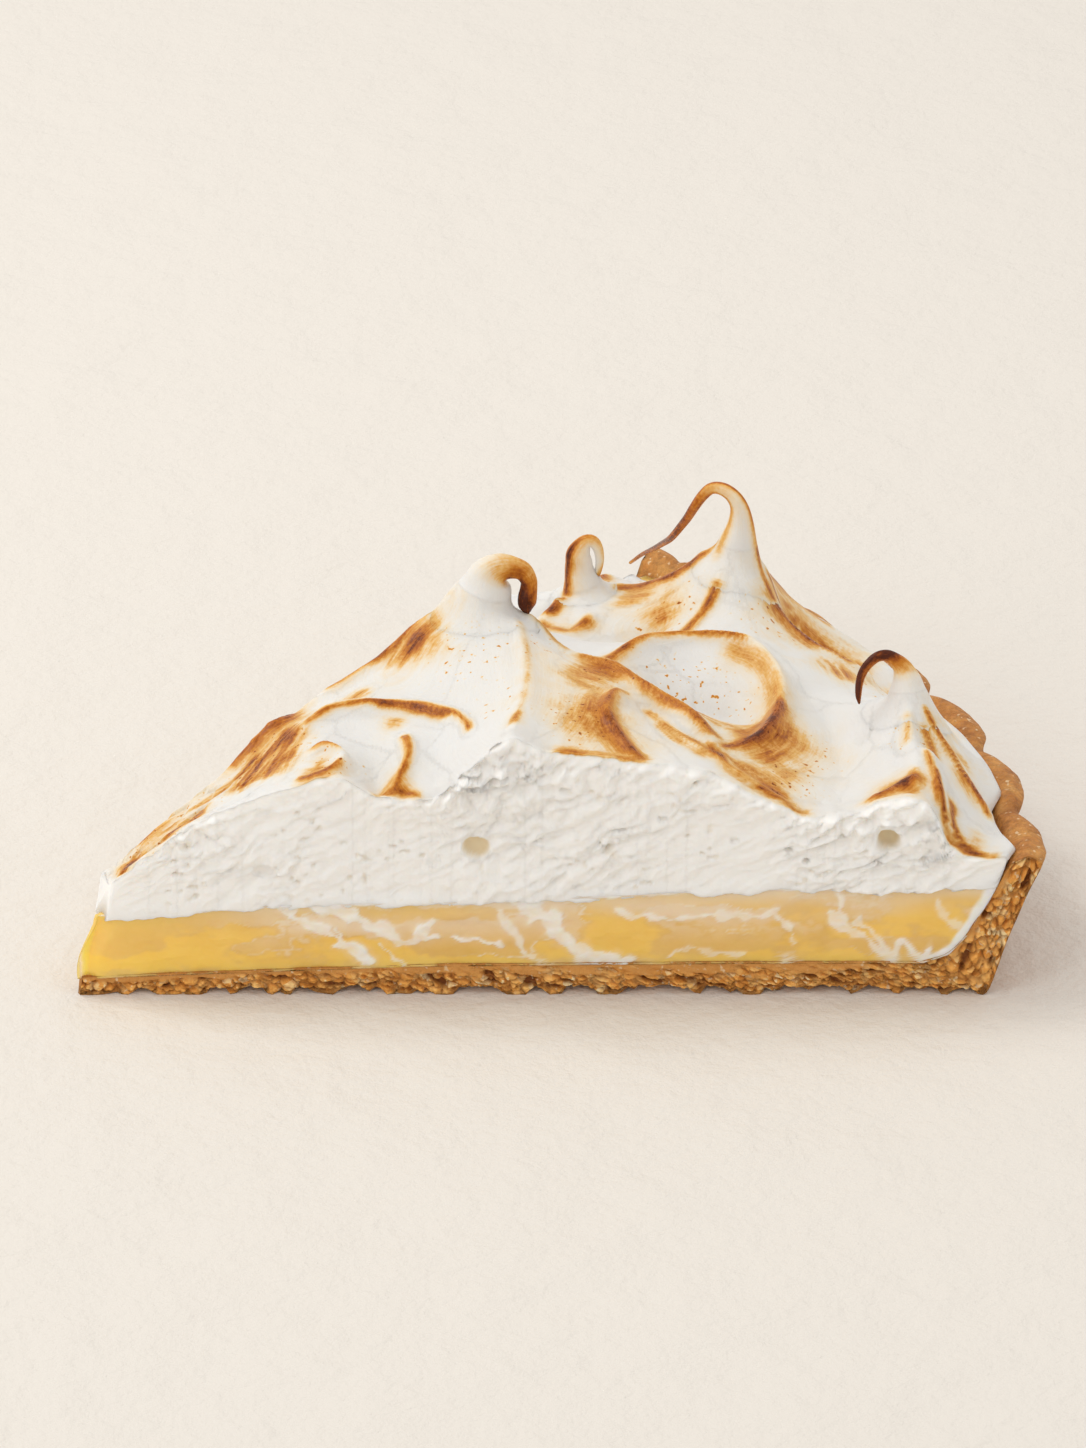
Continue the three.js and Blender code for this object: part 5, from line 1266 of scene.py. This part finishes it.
class Finish:
    # one material, with short ways to add a node and join it up
    def __init__(self, name):
        self.material = bpy.data.materials.new(name)
        self.material.use_nodes = True
        self.nodes, self.links = self.material.node_tree.nodes, self.material.node_tree.links
        self.nodes.clear()
        output = self.nodes.new("ShaderNodeOutputMaterial")
        self.shader = self.nodes.new("ShaderNodeBsdfPrincipled")
        self.links.new(self.shader.outputs["BSDF"], output.inputs["Surface"])
        self.place = self.nodes.new("ShaderNodeTexCoord").outputs["Object"]

    def put(self, socket, value):
        # joins another node's output, or sets a plain number, vector or colour
        if isinstance(value, bpy.types.NodeSocket):
            self.links.new(value, socket)
        else:
            socket.default_value = (*value, 1) if socket.type == "RGBA" else value

    def dress(self, **values):
        # values on the shader's own sockets, named in camelCase
        for name, value in values.items():
            self.put(self.shader.inputs[shaderSockets[name]], value)

    def read(self, name, output="Fac"):
        node = self.nodes.new("ShaderNodeAttribute")
        node.attribute_name = name
        return node.outputs[output]

    def ramp(self, value, stops):
        node = self.nodes.new("ShaderNodeValToRGB")
        self.links.new(value, node.inputs["Fac"])
        elements = node.color_ramp.elements
        while len(elements) < len(stops):
            elements.new(0.5)
        for element, (place, color) in zip(elements, stops):
            element.position = place
            element.color = (*color, 1)
        return node.outputs["Color"]

    def mix(self, factor, a, b, kind="MIX"):
        node = self.nodes.new("ShaderNodeMix")
        node.data_type = "RGBA"
        node.blend_type = kind
        for name, value in (("Factor", factor), ("A", a), ("B", b)):
            self.put(node.inputs[name], value)
        return node.outputs["Result"]

    def math(self, kind, a, b):
        node = self.nodes.new("ShaderNodeMath")
        node.operation = kind
        self.put(node.inputs[0], a)
        self.put(node.inputs[1], b)
        return node.outputs[0]

    def centred(self, value, strength):
        # (value - 0.5) times strength
        return self.math("MULTIPLY", self.math("SUBTRACT", value, 0.5), strength)

    def above(self, value, start, gain, most):
        # (value - start) times gain, kept between 0 and most
        rise = self.math("MULTIPLY", self.math("SUBTRACT", value, start), gain)
        return self.math("MINIMUM", self.math("MAXIMUM", rise, 0.0), most)

    def noise(self, vector, scale, detail=3.0, rough=0.55):
        node = self.nodes.new("ShaderNodeTexNoise")
        for name, value in (("Vector", vector), ("Scale", scale), ("Detail", detail), ("Roughness", rough)):
            self.put(node.inputs[name], value)
        return node.outputs["Fac"]

    def bump(self, height, distance, strength=1.0, after=None):
        node = self.nodes.new("ShaderNodeBump")
        for name, value in (("Height", height), ("Distance", distance), ("Strength", strength)):
            self.put(node.inputs[name], value)
        if after is not None:
            self.put(node.inputs["Normal"], after)
        return node.outputs["Normal"]


shaderSockets = dict(
    color="Base Color", roughness="Roughness", specular="Specular IOR Level", normal="Normal",
    glow="Subsurface Weight", glowDepth="Subsurface Radius", glowScale="Subsurface Scale",
)

meringueLook = dict(
    # colour of the skin by how browned it is
    skin=[(0.0, (0.735, 0.720, 0.695)), (0.06, (0.745, 0.712, 0.655)), (0.20, (0.765, 0.635, 0.45)),
          (0.34, (0.715, 0.42, 0.13)), (0.50, (0.56, 0.215, 0.020)), (0.66, (0.39, 0.108, 0.005)),
          (0.84, (0.19, 0.040, 0.003)), (1.0, (0.075, 0.013, 0.002))],
    # torn: the cut faces' white, lightened as painted light where the lamps reach less; pit: tan painted
    # shade
    torn=(0.90, 0.875, 0.835), pit=(0.80, 0.67, 0.45), grainStretch=(0.30, 3.6, 1.0),
    # noise scale, detail and roughness; how much each unsettles the browning
    streak=(1.0, 3.0, 0.65), streakShare=0.9, cloud=(420.0, 4.0, 0.6), cloudShare=0.7,
    fine=(2100.0, 2.0, 0.5),
    fineShare=0.55, speck=(1500.0, 1.0, 0.4), speckFrom=0.655, speckGain=9.0, speckMost=0.5, speckUnder=0.8,
    # roughness at light and at dark browning, and on the torn faces
    lightAt=0.1, darkAt=0.8, lightRough=0.58, darkRough=0.26, tornRough=0.6,
    soft=(700.0, 4.0, 0.6), softBump=0.00022, crisp=(1.0, 2.0, 0.5), crispBump=0.00012, bumpShare=0.5,
    surface=dict(specular=0.2, glow=0.4, glowDepth=(0.0024, 0.0021, 0.0018), glowScale=1.0),
)


def toastedMeringue():
    # browning unsettled by three noises and raised by specks; it picks the colour and the gloss
    look = meringueLook
    finish = Finish("toasted_meringue")
    amount, torn, specks, pit = [finish.read(name) for name in ("toast", "torn", "specks", "pit")]
    stretch = finish.nodes.new("ShaderNodeMapping")
    finish.put(stretch.inputs["Scale"], look["grainStretch"])
    finish.put(stretch.inputs["Vector"], finish.read("grain", "Vector"))
    grain = stretch.outputs["Vector"]
    wobble = 1.0
    for vector, name in ((grain, "streak"), (finish.place, "cloud"), (finish.place, "fine")):
        noise = finish.noise(vector, *look[name])
        wobble = finish.math("ADD", wobble, finish.centred(noise, look[name + "Share"]))
    worked = finish.math("MULTIPLY", amount, wobble)
    dots = finish.noise(finish.place, *look["speck"])
    dots = finish.math("MULTIPLY", finish.math("SUBTRACT", dots, look["speckFrom"]), look["speckGain"])
    dots = finish.math("MULTIPLY", finish.math("MAXIMUM", dots, 0.0), specks)
    dots = finish.math("MINIMUM", dots, look["speckMost"])
    under = finish.math("MULTIPLY", worked, look["speckUnder"])
    worked = finish.math("MAXIMUM", worked, finish.math("ADD", under, dots))
    # torn faces: their lightened white is painted light, and the tan in pores and pits is painted shade
    tornColor = finish.mix(pit, look["torn"], look["pit"])
    color = finish.mix(torn, finish.ramp(worked, look["skin"]), tornColor)
    gloss = finish.nodes.new("ShaderNodeMapRange")
    for name, value in (("Value", worked), ("From Min", look["lightAt"]), ("From Max", look["darkAt"]),
                        ("To Min", look["lightRough"]), ("To Max", look["darkRough"])):
        finish.put(gloss.inputs[name], value)
    tornRough = finish.math("MULTIPLY", torn, look["tornRough"])
    first = finish.bump(finish.noise(finish.place, *look["soft"]), look["softBump"], look["bumpShare"])
    normal = finish.bump(finish.noise(grain, *look["crisp"]), look["crispBump"], look["bumpShare"], first)
    roughness = finish.math("MAXIMUM", gloss.outputs["Result"], tornRough)
    finish.dress(color=color, roughness=roughness, normal=normal, **look["surface"])
    return finish.material


curdLook = dict(
    light=(0.85, 0.57, 0.20), deep=(0.71, 0.41, 0.08), orange=(1.0, 0.635, 0.09), pale=(0.83, 0.645, 0.43),
    smear=(0.88, 0.83, 0.75), cloud=(230.0, 4.0, 0.55), ripple=(500.0, 3.0, 0.6), rippleBump=0.00025,
    rippleShare=0.5,
    surface=dict(roughness=0.22, glow=0.4, glowDepth=(0.0030, 0.0020, 0.0008), glowScale=1.0),
)


def lemonCurdFinish():
    # cloudy yellow, turned orange, pale and white in turn by the values on the mesh
    look = curdLook
    finish = Finish("lemon_curd")
    color = finish.mix(finish.noise(finish.place, *look["cloud"]), look["light"], look["deep"])
    for name in ("orange", "pale", "smear"):
        color = finish.mix(finish.read(name), color, look[name])
    ripple = finish.noise(finish.place, *look["ripple"])
    finish.dress(color=color, normal=finish.bump(ripple, look["rippleBump"], look["rippleShare"]),
                 **look["surface"])
    return finish.material


pastryLook = dict(
    # baked skin by a cloudy noise, darkened by a grainy one; crumb by the cell it lies in
    skin=[(0.30, (0.42, 0.150, 0.027)), (0.5, (0.55, 0.225, 0.047)), (0.72, (0.68, 0.33, 0.085))],
    grain=[(0.32, (0.30, 0.28, 0.25)), (0.62, (1.0, 1.0, 1.0))], grainShare=0.55,
    crumb=[(0.0, (0.72, 0.30, 0.052)), (0.5, (0.92, 0.44, 0.098)), (0.85, (1.0, 0.59, 0.19)),
           (1.0, (1.0, 0.79, 0.44))],
    # the last colour on the next line is painted shade for the crumb's holes and gaps and the flutes' notches
    smoothDark=(0.47, 0.19, 0.038), smoothLight=(0.75, 0.365, 0.098), pore=(0.24, 0.075, 0.014),
    fleck=(0.80, 0.60, 0.36),
    cloud=(260.0, 4.0, 0.6), fine=(1500.0, 3.0, 0.6), grainNoise=(1100.0, 4.0, 0.7), cells=900.0,
    fleckNoise=(1300.0, 1.0, 0.4), fleckFrom=0.67, fleckGain=12.0, fleckMost=0.7,
    cellBump=0.00025, cellShare=0.35, fineBump=0.0004, fineShare=0.8,
    surface=dict(roughness=0.62, specular=0.3, glow=0.08, glowDepth=(0.0010, 0.0006, 0.0003), glowScale=1.0),
)


def bakedPastry():
    # baked skin outside, crumb on the cuts where it is loose and a smoother tone where it isn't, painted
    # shade in the holes, the gaps between crumbs and the flutes' notches, and pale flecks
    look = pastryLook
    finish = Finish("baked_pastry")
    cloud = finish.noise(finish.place, *look["cloud"])
    cells = finish.nodes.new("ShaderNodeTexVoronoi")
    finish.put(cells.inputs["Scale"], look["cells"])
    finish.put(cells.inputs["Vector"], finish.place)
    shade = finish.nodes.new("ShaderNodeSeparateColor")
    finish.put(shade.inputs["Color"], cells.outputs["Color"])
    crumb = finish.ramp(shade.outputs["Red"], look["crumb"])
    smooth = finish.mix(cloud, look["smoothDark"], look["smoothLight"])
    crumb = finish.mix(finish.read("loose"), smooth, crumb)
    grain = finish.ramp(finish.noise(finish.place, *look["grainNoise"]), look["grain"])
    skin = finish.mix(look["grainShare"], finish.ramp(cloud, look["skin"]), grain, "MULTIPLY")
    color = finish.mix(finish.read("cutShare"), skin, crumb)
    # painted shade in the holes, in the gaps between crumbs and along the flutes' notches
    color = finish.mix(finish.read("pore"), color, look["pore"])
    flecks = finish.noise(finish.place, *look["fleckNoise"])
    flecks = finish.above(flecks, look["fleckFrom"], look["fleckGain"], look["fleckMost"])
    first = finish.bump(cells.outputs["Distance"], look["cellBump"], look["cellShare"])
    grit = finish.noise(finish.place, *look["fine"])
    normal = finish.bump(grit, look["fineBump"], look["fineShare"], first)
    finish.dress(color=finish.mix(flecks, color, look["fleck"]), normal=normal, **look["surface"])
    return finish.material


meringueFinish = toastedMeringue()
for piece, material, node, slot in ((meringueTop, meringueFinish, "meringue", "meringue"),
                                    (meringuePeaks, meringueFinish, "meringue", "meringue"),
                                    (lemonCurd, lemonCurdFinish(), "lemon_filling", "curd"),
                                    (tartCrust, bakedPastry(), "crust", "pastry")):
    piece.data.materials.append(material)
    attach(piece, "root")
    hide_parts(node)
    print(piece.name, "finished as", material.name)


# floor, light and camera

stage = dict(
    floorSize=3.0, floorColor=(0.760, 0.708, 0.640), floorRough=0.85, dents=(60.0, 6.0, 0.62),
    dentBump=0.0022,
    dentShare=0.7, grain=(620.0, 4.0, 0.65), grainBump=0.0004, grainShare=0.4, elevation=math.radians(26.3),
    away=1000.0,
    lookAt=(57.9, 33.53), pixelsPerMm=970 / 120, pictureHeight=1448, filmSide=36.0,
    clip=(0.05, 20), roomColor=(1.0, 0.995, 0.985), roomStrength=0.89, aim=(0, 0, 0.02),
    # square lights: place, side, power, colour
    lights=dict(window=((-0.42, 0.16, 0.72), 0.36, 2.05, (1.0, 0.99, 0.975)),
                side=((-0.75, -0.60, 0.50), 0.6, 1.15, (1.0, 0.985, 0.965))),
)


def buildStage():
    # floor, room light, square lights and the camera: away times the view line back from the point it
    # looks at
    s = stage["floorSize"]
    mesh = bpy.data.meshes.new("floor")
    mesh.from_pydata([(-s, -s, 0), (s, -s, 0), (s, s, 0), (-s, s, 0)], [], [(0, 1, 2, 3)])
    floor = bpy.data.objects.new("floor", mesh)
    bpy.context.scene.collection.objects.link(floor)
    plaster = Finish("pale_plaster")
    first = plaster.bump(plaster.noise(plaster.place, *stage["dents"]), stage["dentBump"], stage["dentShare"])
    grain = plaster.noise(plaster.place, *stage["grain"])
    normal = plaster.bump(grain, stage["grainBump"], stage["grainShare"], first)
    plaster.dress(color=stage["floorColor"], roughness=stage["floorRough"], normal=normal)
    mesh.materials.append(plaster.material)

    world = bpy.data.worlds.new("soft_room")
    bpy.context.scene.world = world
    world.use_nodes = True
    background = world.node_tree.nodes["Background"]
    background.inputs["Color"].default_value = (*stage["roomColor"], 1)
    background.inputs["Strength"].default_value = stage["roomStrength"]

    for name, (place, size, power, color) in stage["lights"].items():
        lamp = bpy.data.lights.new(name, "AREA")
        lamp.shape = "SQUARE"
        lamp.size = size
        lamp.energy = power
        lamp.color = color
        thing = bpy.data.objects.new(name, lamp)
        thing.location = place
        thing.rotation_euler = (Vector(stage["aim"]) - Vector(place)).to_track_quat("-Z", "Y").to_euler()
        bpy.context.scene.collection.objects.link(thing)

    e = stage["elevation"]
    forward = np.array([0, math.cos(e), -math.sin(e)])
    upward = np.array([0, math.sin(e), math.cos(e)])
    across, rise = stage["lookAt"]
    spot = (np.array([across, 0, 0]) + upward * rise - forward * stage["away"]) * mm + origin
    camera = bpy.data.cameras.new("camera")
    camera.sensor_fit = "AUTO"
    camera.sensor_width = stage["filmSide"]
    camera.lens = stage["filmSide"] * stage["away"] / (stage["pictureHeight"] / stage["pixelsPerMm"])
    camera.clip_start, camera.clip_end = stage["clip"]
    eye = bpy.data.objects.new("camera", camera)
    eye.location = spot
    eye.rotation_euler = (math.pi / 2 - e, 0, 0)
    bpy.context.scene.collection.objects.link(eye)
    bpy.context.scene.camera = eye


buildStage()
print("floor, lights and camera placed")
bpy.context.scene.view_settings.view_transform = "Standard"
